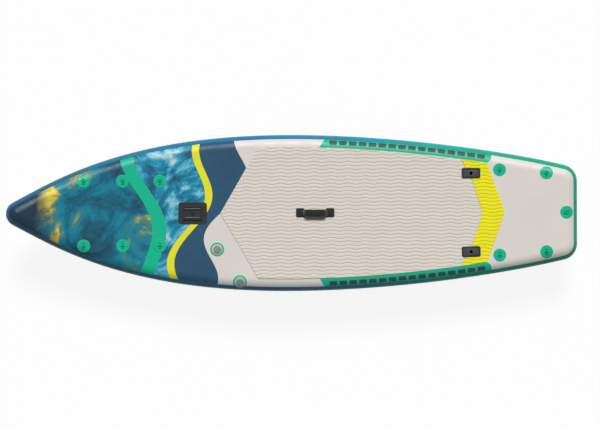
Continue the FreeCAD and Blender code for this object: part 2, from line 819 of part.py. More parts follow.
FLANGE_TOP = "patch_wall + valve_flange_wall"
COLLAR_TOP = FLANGE_TOP + " + valve_collar_height"
LIP_TOP = COLLAR_TOP + " - valve_lip_depth"
LIP_LOW = LIP_TOP + " - valve_lip_wall"
DISC_TOP = LIP_LOW + " - valve_seal_wall"
DISC_LOW = DISC_TOP + " - valve_disc_wall"
BARREL_LOW = "0 - valve_barrel_length"
STEM_TOP = LIP_TOP + " - valve_button_drop"
HUB_BORE = "valve_stem_radius + valve_stem_gap"
CAP_LOW = COLLAR_TOP + " + cap_gap"
PLUG_RADIUS = "valve_mouth_radius - cap_plug_gap"
RING_BORE = "valve_collar_radius + cap_ring_gap"
RING_RADIUS = RING_BORE + " + cap_ring_wall"


def height(text):
    """Value of a sum of sizes."""
    total = 0.0
    sign = 1
    for word in text.split():
        if word in "+-":
            sign = 1 if word == "+" else -1
        elif word != "0":
            total += sign * getattr(d, word)
    return total


def valve_body(name):
    outside = fused(name + "_body_outside", [
        upright_prism(name + "_flange", BODY_SIDES, "valve_flange_radius", "patch_wall", "valve_flange_wall"),
        upright_prism(
            name + "_collar", BODY_SIDES, "valve_collar_radius", "patch_wall",
            "valve_flange_wall + valve_collar_height"),
        upright_prism(
            name + "_barrel", BODY_SIDES, "valve_barrel_radius", BARREL_LOW,
            "valve_barrel_length + patch_wall + valve_flange_wall"),
    ])
    inside_bore = fused(name + "_body_inside", [
        upright_prism(
            name + "_mouth", BODY_SIDES, "valve_mouth_radius", LIP_TOP,
            "valve_lip_depth + cut_overrun"),
        upright_prism(
            name + "_throat", BODY_SIDES, "valve_lip_radius", LIP_LOW + " - cut_overrun",
            "valve_lip_wall + 2 * cut_overrun"),
        upright_prism(
            name + "_chamber", BODY_SIDES, "valve_barrel_bore", BARREL_LOW + " - cut_overrun",
            LIP_LOW + " + valve_barrel_length + cut_overrun"),
    ])
    arms = []
    for k in range(SPIDER_ARMS):
        arm = primitive(
            "Box", name + "_arm_%d" % k, ("0", "0", BARREL_LOW), Rotation(AXIS_Z, 360 * k / SPIDER_ARMS),
            Length="valve_barrel_bore + valve_hole_gap", Width="valve_arm_width", Height="valve_hub_height")
        arms.append(arm)
    hub = upright_prism(name + "_hub", STEM_SIDES, "valve_hub_radius", BARREL_LOW, "valve_hub_height")
    spider = less(
        name + "_spider", fused(name + "_spider_solid", [hub] + arms),
        upright_prism(
            name + "_hub_bore", STEM_SIDES, HUB_BORE, BARREL_LOW + " - cut_overrun",
            "valve_hub_height + 2 * cut_overrun"))
    return fused(name + "_valve_body", [less(name + "_body_shell", outside, inside_bore), spider])


def valve_stem(name):
    return fused(name + "_stem_form", [
        upright_prism(
            name + "_button", STEM_SIDES, "valve_button_radius",
            STEM_TOP + " - valve_button_wall", "valve_button_wall"),
        upright_prism(
            name + "_shaft", STEM_SIDES, "valve_stem_radius", BARREL_LOW + " - valve_stem_reach",
            STEM_TOP + " + valve_barrel_length + valve_stem_reach - valve_button_wall / 2"),
        upright_prism(name + "_disc", DISC_SIDES, "valve_disc_radius", DISC_LOW, "valve_disc_wall"),
    ])


def valve_seal(name):
    return less(
        name + "_seal_form",
        upright_prism(name + "_seal_disc", DISC_SIDES, "valve_disc_radius", DISC_TOP, "valve_seal_wall"),
        upright_prism(
            name + "_seal_bore", STEM_SIDES, "valve_seal_bore", DISC_TOP + " - cut_overrun",
            "valve_seal_wall + 2 * cut_overrun"))


def valve_nut(name):
    return less(
        name + "_nut_form",
        upright_prism(name + "_nut_block", NUT_SIDES, "nut_radius", "0 - nut_wall", "nut_wall"),
        upright_prism(
            name + "_nut_bore", BODY_SIDES, "valve_barrel_radius + valve_stem_gap",
            "0 - nut_wall - cut_overrun", "nut_wall + 2 * cut_overrun"))


def valve_cap_ring(name):
    return less(
        name + "_cap_ring_form",
        fused(name + "_cap_ring_solid", [
            upright_prism(name + "_cap_ring_band", BODY_SIDES, RING_RADIUS, FLANGE_TOP, "cap_ring_height"),
            primitive(
                "Box", name + "_cap_lug",
                (RING_BORE + " + cap_ring_wall / 2", "0 - cap_strap_width / 2", FLANGE_TOP),
                Length="cap_ring_wall / 2 + cap_ring_lug", Width="cap_strap_width", Height="cap_ring_height"),
        ]),
        upright_prism(
            name + "_cap_ring_bore", BODY_SIDES, RING_BORE, FLANGE_TOP + " - cut_overrun",
            "cap_ring_height + 2 * cut_overrun"))


def valve_cap(name):
    plug = less(
        name + "_cap_plug",
        upright_prism(
            name + "_plug_block", DISC_SIDES, PLUG_RADIUS, CAP_LOW + " - cap_plug_depth",
            "cap_plug_depth + cap_wall / 2"),
        upright_prism(
            name + "_plug_bore", DISC_SIDES, PLUG_RADIUS + " - cap_plug_wall",
            CAP_LOW + " - cap_plug_depth - cut_overrun", "cap_plug_depth + cut_overrun"))
    return fused(name + "_cap_form", [
        upright_prism(name + "_cap_disc", CAP_SIDES, "cap_radius", CAP_LOW, "cap_wall"),
        plug,
        primitive(
            "Box", name + "_cap_grip",
            ("0 - cap_grip_width / 2", "0 - cap_grip_length / 2", CAP_LOW + " + cap_wall / 2"),
            Length="cap_grip_width", Width="cap_grip_length", Height="cap_wall / 2 + cap_grip_height"),
        primitive(
            "Box", name + "_cap_strap",
            ("cap_radius - cap_ring_wall", "0 - cap_strap_width / 2", CAP_LOW),
            Length=RING_RADIUS + " + cap_ring_lug - cap_radius + cap_ring_wall",
            Width="cap_strap_width", Height="cap_strap_wall"),
    ])


def valve_spring(name):
    """Square-wire coil between the spider's hub and the disc, its sides split into flat triangles."""
    low = height(BARREL_LOW) + d.valve_hub_height
    wire = d.spring_wire
    rise = height(DISC_LOW) - low - wire
    steps = SPRING_TURNS * SPRING_STEPS
    sections = []
    for k in range(steps + 1):
        turn = 2 * math.pi * k / SPRING_STEPS
        spoke = Vector(math.cos(turn), math.sin(turn), 0)
        middle = spoke * d.spring_radius + AXIS_Z * (low + wire / 2 + rise * k / steps)
        corners = [
            middle + spoke * (across * wire / 2) + AXIS_Z * (up * wire / 2)
            for across, up in ((-1, -1), (1, -1), (1, 1), (-1, 1))
        ]
        sections.append(corners)
    loops = [sections[0], sections[-1]]
    for fore, aft in zip(sections, sections[1:]):
        for k in range(len(fore)):
            loops.append([fore[k], fore[k - 1], aft[k - 1]])
            loops.append([fore[k], aft[k - 1], aft[k]])
    faces = [Part.Face(Part.makePolygon(loop + loop[:1])) for loop in loops]
    return Part.makeSolid(Part.makeShell(faces))


facet_reach = rail_inner * math.cos(math.radians((90 - tape_angle) / SHOULDER_STEPS / 2))
nut_drops = {
    "main": d.sheet_wall,
    "side": rail_radius - math.sqrt(facet_reach ** 2 - d.nut_radius ** 2),
}
bodies = []
nuts = []
cap_rings = []
for name, place in valve_places.items():
    body = valve_body(name)
    body.Placement = place
    bodies.append(body)
    nut = valve_nut(name)
    nut.Placement = place.multiply(Placement(Vector(0, 0, -nut_drops[name]), Rotation()))
    nuts.append(nut)
    cap_ring = valve_cap_ring(name)
    cap_ring.Placement = place
    cap_rings.append(cap_ring)
    for piece, make in (("stem", valve_stem), ("seal", valve_seal), ("cap", valve_cap)):
        obj = keep(name + "_valve_" + piece, make(name))
        obj.Placement = place
    shape_part(name + "_valve_spring", valve_spring(name), place)
together("valve_bodies", bodies)
together("valve_nuts", nuts)
together("valve_cap_rings", cap_rings)


# Rings, their webbing tabs

TUNNEL_RADIUS = "(ring_wire * sqrt(2) + ring_gap)"
LOOP_RADIUS = "(ring_wire * sqrt(2) + ring_gap + tab_wall)"
pivot_height = d.ring_wire * math.sqrt(2) + d.ring_gap + d.tab_wall
flat_down = Rotation(AXIS_Y, 90) * Rotation(AXIS_Z, 180 / TAB_SIDES)


def hexagon(name, radius, start, length):
    """Six-sided prism along X with a flat below, given the radius of the circle inside it."""
    obj = primitive(
        "Prism", name, (start, "0", "0"), flat_down, Circumradius=radius + " * 2 / sqrt(3)", Height=length)
    obj.Polygon = TAB_SIDES
    return obj


tab_form = less(
    "tab_form",
    fused("tab_solid", [
        primitive(
            "Box", "tab_leaf", ("0 - tab_width / 2", "0 - tab_length", "0 - " + LOOP_RADIUS),
            Length="tab_width", Width="tab_length", Height="tab_leaf_wall"),
        hexagon("tab_loop", LOOP_RADIUS, "0 - tab_width / 2", "tab_width"),
    ]),
    hexagon("tab_tunnel", TUNNEL_RADIUS, "0 - tab_width", "2 * tab_width"))


def ring_outline(inset):
    """Plan of the ring: straight pivot bar, two legs and a bow, offset from its middle line."""
    half = d.ring_half_width + inset
    points = [Vector(half, -inset, -d.ring_wire)]
    for k in range(BOW_SIDES + 1):
        turn = math.pi * k / BOW_SIDES
        points.append(Vector(half * math.cos(turn), d.ring_leg + half * math.sin(turn), -d.ring_wire))
    points.append(Vector(-half, -inset, -d.ring_wire))
    return Part.Face(Part.makePolygon(points + points[:1]))


ring_form = ring_outline(d.ring_wire).cut(ring_outline(-d.ring_wire)).extrude(AXIS_Z * (2 * d.ring_wire))
doc.recompute()
lift = Placement(Vector(0, 0, d.patch_wall + d.tab_seat_gap + pivot_height), Rotation())
tabs = []
for (tag, (x, y, yaw)), patch in zip(ring_stations.items(), patches):
    seat = deck_place(x, y, yaw).multiply(lift)
    tab = tab_form.Shape.copy()
    tab.Placement = seat
    tabs.append(one_solid(tab.cut(patch)))
    shape_part("ring_" + tag, one_solid(ring_form), seat)
shape_part("ring_tabs", Part.makeCompound(tabs))


# Carry handle

def strap_line():
    """Under side of the webbing from foot to foot, seen from port."""
    half = d.handle_length / 2
    foot = half - d.strap_foot_length
    shoulder = d.grip_length / 2 + d.grip_end_gap
    low = deck + d.patch_wall
    high = deck + d.handle_height
    points = [(-half, low), (-foot, low), (-shoulder, high), (shoulder, high), (foot, low), (half, low)]
    return [Vector(handle_x + x, 0, z) for x, z in points]


def offset_line(points, wall):
    """Line beside another one, mitred at its bends."""
    spokes = [(b - a).normalize() for a, b in zip(points, points[1:])]
    sides = [Vector(-spoke.z, 0, spoke.x) for spoke in spokes]
    shifted = []
    for k, point in enumerate(points):
        before = sides[max(k - 1, 0)]
        after = sides[min(k, len(sides) - 1)]
        shifted.append(point + (before + after) * (wall / (1 + before.dot(after))))
    return shifted


under = strap_line()
strap = Part.Face(Part.makePolygon(under + offset_line(under, d.handle_wall)[::-1] + under[:1]))
strap.translate(Vector(0, -d.handle_width / 2, 0))
strap = strap.extrude(Vector(0, d.handle_width, 0))
bends = [
    e for e in edges_along(strap, AXIS_Y)
    if abs(abs(e.CenterOfMass.x - handle_x) - d.handle_length / 2) > d.handle_wall
]
strap = strap.makeFillet(d.handle_wall / 2, bends)
shape_part("handle_strap", one_solid(strap))

grip = block(
    -d.grip_length / 2, d.grip_length / 2, -d.grip_width / 2, d.grip_width / 2,
    -d.grip_drop, d.handle_wall + d.grip_drop)
grip = grip.makeFillet(d.grip_corner, edges_along(grip, AXIS_X))
core = block(
    -d.grip_length, d.grip_length, -d.handle_width, d.handle_width, 0, d.handle_wall)
grip = grip.cut(core)
grip.translate(Vector(handle_x, 0, deck + d.handle_height))
shape_part("handle_grip", Part.makeCompound(grip.Solids))

handle_pads = []
for x in handle_seats:
    base = clipped_plate(d.handle_patch_length, d.handle_patch_width, d.patch_wall, d.handle_patch_corner)
    base.translate(Vector(x, 0, deck))
    handle_pads.append(base)
shape_part("handle_patches", Part.makeCompound(handle_pads))

# Front accessory mount

front_place = bridge_place(*spot("front_mount"), d.front_mount_length)
base = keep("front_mount_base", add_body("front_mount_base"))
base_sketch = add_sketch(base, "XY_Plane", "front_base_sketch")
rectangle(
    base_sketch, "0 - front_mount_length / 2", "front_mount_length / 2",
    "0 - front_mount_width / 2", "front_mount_width / 2")
base_pad = pad(base, base_sketch, "front_base_pad", "front_mount_wall")
round_uprights(base, base_pad, "front_base_round", "front_mount_corner")
frame_sketch = add_sketch(base, "XY_Plane", "front_frame_sketch", "front_mount_wall")
rectangle(
    frame_sketch, "0 - frame_length / 2", "frame_length / 2", "0 - frame_width / 2", "frame_width / 2")
pad(base, frame_sketch, "front_frame_pad", "frame_height")
recess_sketch = add_sketch(base, "XY_Plane", "front_recess_sketch", "front_mount_wall + frame_floor")
rectangle(
    recess_sketch, "frame_rim - frame_length / 2", "frame_length / 2 - frame_rim",
    "frame_rim - frame_width / 2", "frame_width / 2 - frame_rim")
pocket(base, recess_sketch, "front_recess", "frame_height", reverse=True)
boss_sketch = add_sketch(base, "XY_Plane", "front_boss_sketch", "front_mount_wall")
circle(boss_sketch, "socket_radius")
pad(base, boss_sketch, "front_boss", "frame_height - cap_edge")
bore_sketch = add_sketch(base, "XY_Plane", "front_bore_sketch", "front_mount_wall")
circle(bore_sketch, "socket_bore")
pocket(base, bore_sketch, "front_bore", "frame_height", reverse=True)
base.Placement = front_place

bars = []
for side in (1, -1):
    bar = clipped_plate(d.rail_bar_length, d.rail_bar_width, d.rail_bar_height, d.rail_bar_corner)
    bar.translate(Vector(0, side * d.rail_bar_y, d.front_mount_wall + d.frame_floor))
    bars.append(bar)
shape_part("front_mount_rails", Part.makeCompound(bars), front_place)


# Rear accessory mounts

def rear_mount(name, side):
    body = keep(name, add_body(name))
    sketch = add_sketch(body, "XY_Plane", name + "_sketch")
    rectangle(
        sketch, "0 - rear_mount_length / 2", "rear_mount_length / 2",
        "0 - rear_mount_width / 2", "rear_mount_width / 2")
    block_pad = pad(body, sketch, name + "_pad", "rear_mount_wall")
    round_uprights(body, block_pad, name + "_round", "rear_mount_corner")
    recess = add_sketch(body, "XY_Plane", name + "_recess_sketch", "rear_mount_wall - rear_mount_recess")
    rectangle(
        recess, "rear_mount_rim - rear_mount_length / 2", "rear_mount_length / 2 - rear_mount_rim",
        "rear_mount_rim - rear_mount_width / 2", "rear_mount_width / 2 - rear_mount_rim")
    pocket(body, recess, name + "_recess", "rear_mount_wall", reverse=True)
    bore = add_sketch(body, "XY_Plane", name + "_bore_sketch", "cap_edge")
    circle(bore, "socket_bore")
    pocket(body, bore, name + "_bore", "rear_mount_wall", reverse=True)
    body.Placement = mount_place(side)
    return body


rear_mount("rear_mount_starboard", 1)
rear_mount("rear_mount_port", -1)


# Fins

def foil_ring(chord, wall, x, z):
    """Points round a foil section with its leading edge at x."""
    side = [Vector(x + chord * along, wall / 2 * half, z) for along, half in FOIL_SHARES]
    return side + [Vector(p.x, -p.y, z) for p in side[:0:-1]]


def blade(chord, tip_chord, depth, rake, wall, top):
    """Swept fin blade that hangs from a height, leading edge at x = 0 at its root."""
    sections = []
    for down, back, taper in BLADE_SHARES:
        span = chord + (tip_chord - chord) * taper
        sections.append(foil_ring(span, wall * span / chord, rake * back, top - depth * down))
    faces = [Part.Face(Part.makePolygon(ring + ring[:1])) for ring in sections[:1] + sections[-1:]]
    for upper, lower in zip(sections, sections[1:]):
        for k, point in enumerate(upper):
            corners = [point, upper[k - 1], lower[k - 1], lower[k]]
            faces.append(Part.Face(Part.makePolygon(corners + corners[:1])))
    return Part.makeSolid(Part.makeShell(faces))


box = keep("fin_box", add_body("fin_box"))
flange = add_sketch(box, "XY_Plane", "fin_flange_sketch")
rectangle(
    flange, "0 - fin_plate_length / 2", "fin_plate_length / 2",
    "0 - fin_plate_width / 2", "fin_plate_width / 2")
flange_pad = pad(box, flange, "fin_flange", "fin_plate_wall", reverse=True)
round_uprights(box, flange_pad, "fin_flange_round", "fin_plate_corner")
housing = add_sketch(box, "XY_Plane", "fin_housing_sketch", "0 - fin_plate_wall")
rectangle(
    housing, "0 - fin_box_length / 2", "fin_box_length / 2", "0 - fin_box_width / 2", "fin_box_width / 2")
pad(box, housing, "fin_housing", "fin_box_height", reverse=True)
BOX_LOW = "0 - fin_plate_wall - fin_box_height"
neck_slot = add_sketch(box, "XY_Plane", "fin_neck_sketch", BOX_LOW)
rectangle(
    neck_slot, "fin_box_stop - fin_box_length / 2", "fin_box_length / 2 + cut_overrun",
    "0 - fin_neck_width / 2 - fin_slot_gap", "fin_neck_width / 2 + fin_slot_gap")
pocket(box, neck_slot, "fin_neck_slot", "fin_neck_height + fin_slot_gap", reverse=True)
head_slot = add_sketch(box, "XY_Plane", "fin_head_sketch", BOX_LOW + " + fin_neck_height - fin_slot_gap")
rectangle(
    head_slot, "fin_box_stop - fin_box_length / 2", "fin_box_length / 2 + cut_overrun",
    "0 - fin_head_width / 2 - fin_slot_gap", "fin_head_width / 2 + fin_slot_gap")
pocket(box, head_slot, "fin_head_slot", "fin_head_height + 2 * fin_slot_gap", reverse=True)
fin_x = spot("fin")[0]
box.Placement = Placement(Vector(fin_x, 0, 0), Rotation())

box_low = -d.fin_plate_wall - d.fin_box_height
slot_start = fin_x - d.fin_box_length / 2 + d.fin_box_stop
rail_start = slot_start + d.fin_slot_gap
rail_end = fin_x + d.fin_box_length / 2
foot_top = box_low - d.fin_slot_gap
foot_low = foot_top - d.fin_foot_height
neck_top = box_low + d.fin_neck_height
head = block(
    rail_start, rail_end, -d.fin_head_width / 2, d.fin_head_width / 2, neck_top, neck_top + d.fin_head_height)
neck = block(rail_start, rail_end, -d.fin_neck_width / 2, d.fin_neck_width / 2, foot_top, neck_top)
foot_start = fin_x - d.fin_box_length / 2
foot = block(foot_start, rail_end, -d.fin_foot_width / 2, d.fin_foot_width / 2, foot_low, foot_top)
pivot_x = foot_start + d.lever_inset
pivot_z = foot_low + d.fin_foot_height / 2
notch_end = pivot_x + d.lever_wall / 2 + d.lever_notch_room
notch = block(
    foot_start - d.cut_overrun, notch_end, -d.lever_notch / 2, d.lever_notch / 2,
    foot_low - d.cut_overrun, foot_top + d.fin_slot_gap / 2)
fin_blade = blade(
    d.fin_chord, d.fin_tip_chord, d.fin_depth, d.fin_rake, d.fin_blade_wall, foot_low + d.cap_edge)
fin_blade.translate(Vector(notch_end + d.fin_blade_setback, 0, 0))
pin_hole = Part.makeCylinder(
    d.lever_pin_radius, d.fin_foot_width, Vector(pivot_x, -d.fin_foot_width / 2, pivot_z), AXIS_Y)
fin_shape = foot.cut(notch).cut(pin_hole).fuse([neck.cut(notch), head, fin_blade]).removeSplitter()
shape_part("centre_fin", one_solid(fin_shape))
shape_part("fin_lever_pin", pin_hole)

lever = block(
    pivot_x - d.lever_length, pivot_x, -d.lever_width / 2, d.lever_width / 2,
    pivot_z - d.lever_wall / 2, pivot_z + d.lever_wall / 2)
heel = Part.makeCylinder(
    d.lever_wall / 2, d.lever_width, Vector(pivot_x, -d.lever_width / 2, pivot_z), AXIS_Y)
lever_bore = Part.makeCylinder(
    d.lever_pin_radius + d.lever_pin_gap, d.lever_width + d.cut_overrun,
    Vector(pivot_x, -(d.lever_width + d.cut_overrun) / 2, pivot_z), AXIS_Y)
shape_part("fin_lever", one_solid(lever.fuse(heel).removeSplitter().cut(lever_bore)))

side_fin_x, side_fin_y = spot("side_fin")
for name, side in (("side_fin_starboard", 1), ("side_fin_port", -1)):
    foot_plate = clipped_plate(
        d.side_plate_length, d.side_plate_width, d.side_plate_wall, d.side_plate_corner)
    foot_plate.translate(Vector(0, 0, -d.side_plate_wall))
    side_blade = blade(
        d.side_fin_chord, d.side_fin_tip_chord, d.side_fin_depth, d.side_fin_rake, d.side_fin_wall,
        d.cap_edge - d.side_plate_wall)
    side_blade.translate(Vector(-d.side_fin_chord / 2, 0, 0))
    shape_part(
        name, one_solid(foot_plate.fuse(side_blade)),
        Placement(Vector(side_fin_x, side * side_fin_y, 0), Rotation()))

# Checks, and one file a sub-part

doc.recompute()
for obj in doc.Objects:
    if "Invalid" in obj.State or "Error" in obj.State:
        raise RuntimeError("failed object " + obj.Name)
for obj in parts:
    if obj.Shape.isNull() or not obj.Shape.isValid():
        raise RuntimeError("bad shape in " + obj.Label)
os.makedirs("parts", exist_ok=True)
for obj in parts:
    obj.Shape.exportStep("parts/" + obj.Label + ".step")
    print(obj.Label, len(obj.Shape.Solids), round(obj.Shape.Volume))
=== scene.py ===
import json
import math

import bmesh
import bpy
import numpy as np
from mathutils import Matrix, Vector


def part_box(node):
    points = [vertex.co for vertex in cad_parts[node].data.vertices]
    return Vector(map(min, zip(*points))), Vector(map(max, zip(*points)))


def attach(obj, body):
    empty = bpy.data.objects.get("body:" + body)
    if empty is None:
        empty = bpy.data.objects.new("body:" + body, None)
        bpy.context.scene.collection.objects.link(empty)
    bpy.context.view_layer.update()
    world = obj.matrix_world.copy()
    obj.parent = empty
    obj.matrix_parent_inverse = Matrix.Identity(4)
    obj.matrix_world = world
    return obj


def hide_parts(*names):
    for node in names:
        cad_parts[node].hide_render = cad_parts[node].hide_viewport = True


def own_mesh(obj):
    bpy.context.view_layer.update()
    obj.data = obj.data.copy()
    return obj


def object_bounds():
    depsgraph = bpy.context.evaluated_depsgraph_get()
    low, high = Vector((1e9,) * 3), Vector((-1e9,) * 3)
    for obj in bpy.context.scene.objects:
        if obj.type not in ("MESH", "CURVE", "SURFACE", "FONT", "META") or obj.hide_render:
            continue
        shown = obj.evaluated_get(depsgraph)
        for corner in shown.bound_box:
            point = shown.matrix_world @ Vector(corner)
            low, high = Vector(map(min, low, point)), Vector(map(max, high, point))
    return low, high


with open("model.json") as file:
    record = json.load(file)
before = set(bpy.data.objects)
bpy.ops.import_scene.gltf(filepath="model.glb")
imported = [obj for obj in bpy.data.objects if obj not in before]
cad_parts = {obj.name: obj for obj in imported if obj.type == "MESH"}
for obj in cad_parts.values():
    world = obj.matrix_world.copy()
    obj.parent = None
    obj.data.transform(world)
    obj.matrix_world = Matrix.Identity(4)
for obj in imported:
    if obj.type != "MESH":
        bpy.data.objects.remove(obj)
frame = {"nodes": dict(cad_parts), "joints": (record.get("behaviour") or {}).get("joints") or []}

cad_low, cad_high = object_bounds()
MM = 0.001
SIDES = ((1, "starboard"), (-1, "port"))

# Hull form, in metres: +X runs to the tail, +Y to starboard and +Z up. The spine's points are shares of
# its length and of its half width

LENGTH = 3.505
BEAM = 0.965
THICK = 0.152
RADIUS = THICK / 2
WALL = 0.002
TAPE_WALL = 0.0012
TAPE_LAP = 0.028
REACH = RADIUS + TAPE_WALL
END = LENGTH / 2 - REACH
HALF = BEAM / 2 - REACH
TAPE_ANGLE = math.degrees(math.acos((REACH - TAPE_LAP) / RADIUS))
NOSE_BEND = 1.030
NOSE_RISE = 0.165
TAIL_BEND = 0.400
TAIL_RISE = 0.012
BENDS = (
    (NOSE_BEND - LENGTH / 2, NOSE_BEND, NOSE_RISE, -1),
    (LENGTH / 2 - TAIL_BEND, TAIL_BEND, TAIL_RISE, 1))
NOSE_TURN = math.radians(30)
SIDE_TURN = math.radians(13.5)
CORNER = 0.025
CORNER_STEPS = 12
TAIL_STEPS = 13
SIDE_ROWS = 260
TAPE_ROWS = 620
PATCH = 0.0012
PAD_WALL = 0.005
FILM = 0.00004
LIFT = 0.0001
SPINE_SHARES = [
    (0.0, 0.0), (0.034, 0.158), (0.084, 0.370), (0.150, 0.593), (0.217, 0.757), (0.301, 0.894),
    (0.402, 0.979), (0.486, 1.0), (0.605, 0.973), (0.741, 0.880), (0.877, 0.727), (1.0, 0.5245),
]


def rocker(x):
    """Rise and slope of the hull's middle line."""
    x = np.asarray(x, float)
    rise = np.zeros_like(x)
    slope = np.zeros_like(x)
    for start, length, lift, way in BENDS:
        run = np.clip(way * (x - start), 0, None)
        bend = (length ** 2 + lift ** 2) / (2 * lift)
        fall = np.sqrt(bend ** 2 - run ** 2)
        rise += bend - fall
        slope += way * run / fall
    return rise, slope


def bottom_z(x):
    return float(rocker(x)[0])


def run_along(points):
    """Distance from the first point to each."""
    return np.concatenate([[0], np.cumsum(np.linalg.norm(np.diff(points, axis=0), axis=1))])


def spine(count):
    """Plan points and outward directions of the starboard spine, evenly spaced, to the tail centre."""
    along = np.array([math.cos(SIDE_TURN), -math.sin(SIDE_TURN)])
    turn = math.pi / 2 - SIDE_TURN
    p = np.array([(2 * END * a - END, HALF * b) for a, b in SPINE_SHARES])
    p[-1] -= along * CORNER * math.tan(turn / 2)
    t = run_along(p)
    n = len(p)
    h = np.diff(t)
    matrix = np.eye(n)
    right = np.zeros((n, 2))
    right[0] = (math.cos(NOSE_TURN), math.sin(NOSE_TURN))
    right[-1] = along
    for k in range(1, n - 1):
        matrix[k, k - 1:k + 2] = h[k], 2 * (h[k - 1] + h[k]), h[k - 1]
        right[k] = 3 * (h[k] * (p[k] - p[k - 1]) / h[k - 1] + h[k - 1] * (p[k + 1] - p[k]) / h[k])
    m = np.linalg.solve(matrix, right)
    u = np.linspace(0, t[-1], 6 * count)
    k = np.clip(np.searchsorted(t, u, side="right") - 1, 0, n - 2)
    s = ((u - t[k]) / h[k])[:, None]
    w = h[k][:, None]
    fine = (
        (2 * s ** 3 - 3 * s ** 2 + 1) * p[k] + (s ** 3 - 2 * s ** 2 + s) * w * m[k]
        + (3 * s ** 2 - 2 * s ** 3) * p[k + 1] + (s ** 3 - s ** 2) * w * m[k + 1])
    run = run_along(fine)
    even = np.linspace(0, run[-1], count)
    points = np.stack([np.interp(even, run, fine[:, i]) for i in range(2)], axis=1)
    centre = points[-1] + np.array([-math.sin(SIDE_TURN), -math.cos(SIDE_TURN)]) * CORNER
    a = math.pi / 2 - SIDE_TURN - turn * np.arange(1, CORNER_STEPS + 1) / CORNER_STEPS
    arc = centre + CORNER * np.stack([np.cos(a), np.sin(a)], axis=1)
    tail = np.linspace(arc[-1][1], 0, TAIL_STEPS + 1)[1:]
    points = np.vstack([points, arc, np.stack([np.full(len(tail), END), tail], axis=1)])
    step = np.gradient(points, axis=0)
    outs = np.stack([-step[:, 1], step[:, 0]], axis=1)
    outs /= np.linalg.norm(outs, axis=1)[:, None]
    outs[0] = (-math.sin(NOSE_TURN), math.cos(NOSE_TURN))
    outs[-1] = (1, 0)
    return points, outs


PLAN, OUTS = spine(SIDE_ROWS)
EDGE_PLAN = PLAN[:SIDE_ROWS + CORNER_STEPS]


def half_width(x):
    """Half width between the spines at x."""
    return np.interp(x, EDGE_PLAN[:, 0], EDGE_PLAN[:, 1])


def skin(x, y, lift=0.0):
    """Points on the top of the hull above plan points, with their outward normals."""
    x = np.atleast_1d(np.asarray(x, float))
    y = np.atleast_1d(np.asarray(y, float))
    rise, slope = rocker(x)
    point = np.stack([x, y, THICK + rise], axis=1)
    normal = np.stack([-slope, np.zeros_like(x), np.ones_like(x)], axis=1)
    side = np.where(y < 0, -1.0, 1.0)
    gap = np.stack([x, np.abs(y)], axis=1)[:, None, :] - PLAN[None, :, :]
    near = np.argmin((gap ** 2).sum(2), axis=1)
    over = (gap[np.arange(len(x)), near] * OUTS[near]).sum(1)
    out = (over > 0) & ((np.abs(y) > half_width(x)) | (x > END))
    e = np.clip(over, 0, RADIUS * 0.999)
    up = np.sqrt(RADIUS ** 2 - e ** 2)
    point[out, 2] = (rocker(PLAN[near, 0])[0] + RADIUS + up)[out]
    level = OUTS[near] * (e / RADIUS)[:, None]
    normal[out] = np.stack([level[:, 0], level[:, 1] * side, up / RADIUS], axis=1)[out]
    normal /= np.linalg.norm(normal, axis=1)[:, None]
    return point + normal * lift, normal


# Mesh helpers: a part is its points and its faces

CREASE = 35


def smooth(mesh, crease=CREASE):
    """Smooth shading except at creases."""
    mesh.polygons.foreach_set("use_smooth", [True] * len(mesh.polygons))
    mesh.set_sharp_from_angle(angle=math.radians(crease))


def new_object(name, data):
    obj = bpy.data.objects.new(name, data)
    bpy.context.scene.collection.objects.link(obj)
    return obj


def build(name, part, material, node=None, body="hull", crease=CREASE, slots=None):
    """Piece from a part: merged, turned outward, smooth except at creases."""
    verts, faces = part
    mesh = bpy.data.meshes.new(name)
    mesh.from_pydata([tuple(map(float, v)) for v in verts], [], [tuple(f) for f in faces])
    if slots is not None:
        mesh.polygons.foreach_set("material_index", slots)
    b = bmesh.new()
    b.from_mesh(mesh)
    bmesh.ops.remove_doubles(b, verts=b.verts, dist=1e-6)
    bmesh.ops.dissolve_degenerate(b, edges=b.edges, dist=1e-7)
    bmesh.ops.recalc_face_normals(b, faces=b.faces)
    b.to_mesh(mesh)
    b.free()
    smooth(mesh, crease)
    for m in material if isinstance(material, list) else [material]:
        mesh.materials.append(m)
    obj = new_object(name, mesh)
    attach(obj, body)
    if node:
        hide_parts(node)
    return obj


def cut(obj, tool, kind):
    """Boolean applied to the piece's mesh."""
    modifier = obj.modifiers.new("cut", "BOOLEAN")
    modifier.operation = kind
    modifier.solver = "EXACT"
    modifier.object = tool
    graph = bpy.context.evaluated_depsgraph_get()
    made = bpy.data.meshes.new_from_object(obj.evaluated_get(graph), depsgraph=graph)
    obj.modifiers.clear()
    old = obj.data
    obj.data = made
    bpy.data.meshes.remove(old)
    bpy.data.objects.remove(tool)
    smooth(made)


def grid_faces(m, n, start=0, closed_m=False, closed_n=False):
    """Quads between m rows of n points."""
    faces = []
    for i in range(m if closed_m else m - 1):
        for j in range(n if closed_n else n - 1):
            a, b = start + i * n, start + (i + 1) % m * n
            faces.append((a + j, a + (j + 1) % n, b + (j + 1) % n, b + j))
    return faces


def shell(outer, inner):
    """Closed skin between two grids of points."""
    m, n = outer.shape[:2]
    verts = np.vstack([outer.reshape(-1, 3), inner.reshape(-1, 3)])
    faces = grid_faces(m, n) + [f[::-1] for f in grid_faces(m, n, m * n)]
    rim = [i * n for i in range(m)] + [(m - 1) * n + j for j in range(1, n)]
    rim += [i * n + n - 1 for i in range(m - 2, -1, -1)] + list(range(n - 2, 0, -1))
    for a, b in zip(rim, rim[1:] + rim[:1]):
        faces.append((a, b, b + m * n, a + m * n))
    return verts, faces


def sided(part, side):
    """Part as it is to starboard, or mirrored to port."""
    return part[0] * np.array([1.0, side, 1.0]), part[1]


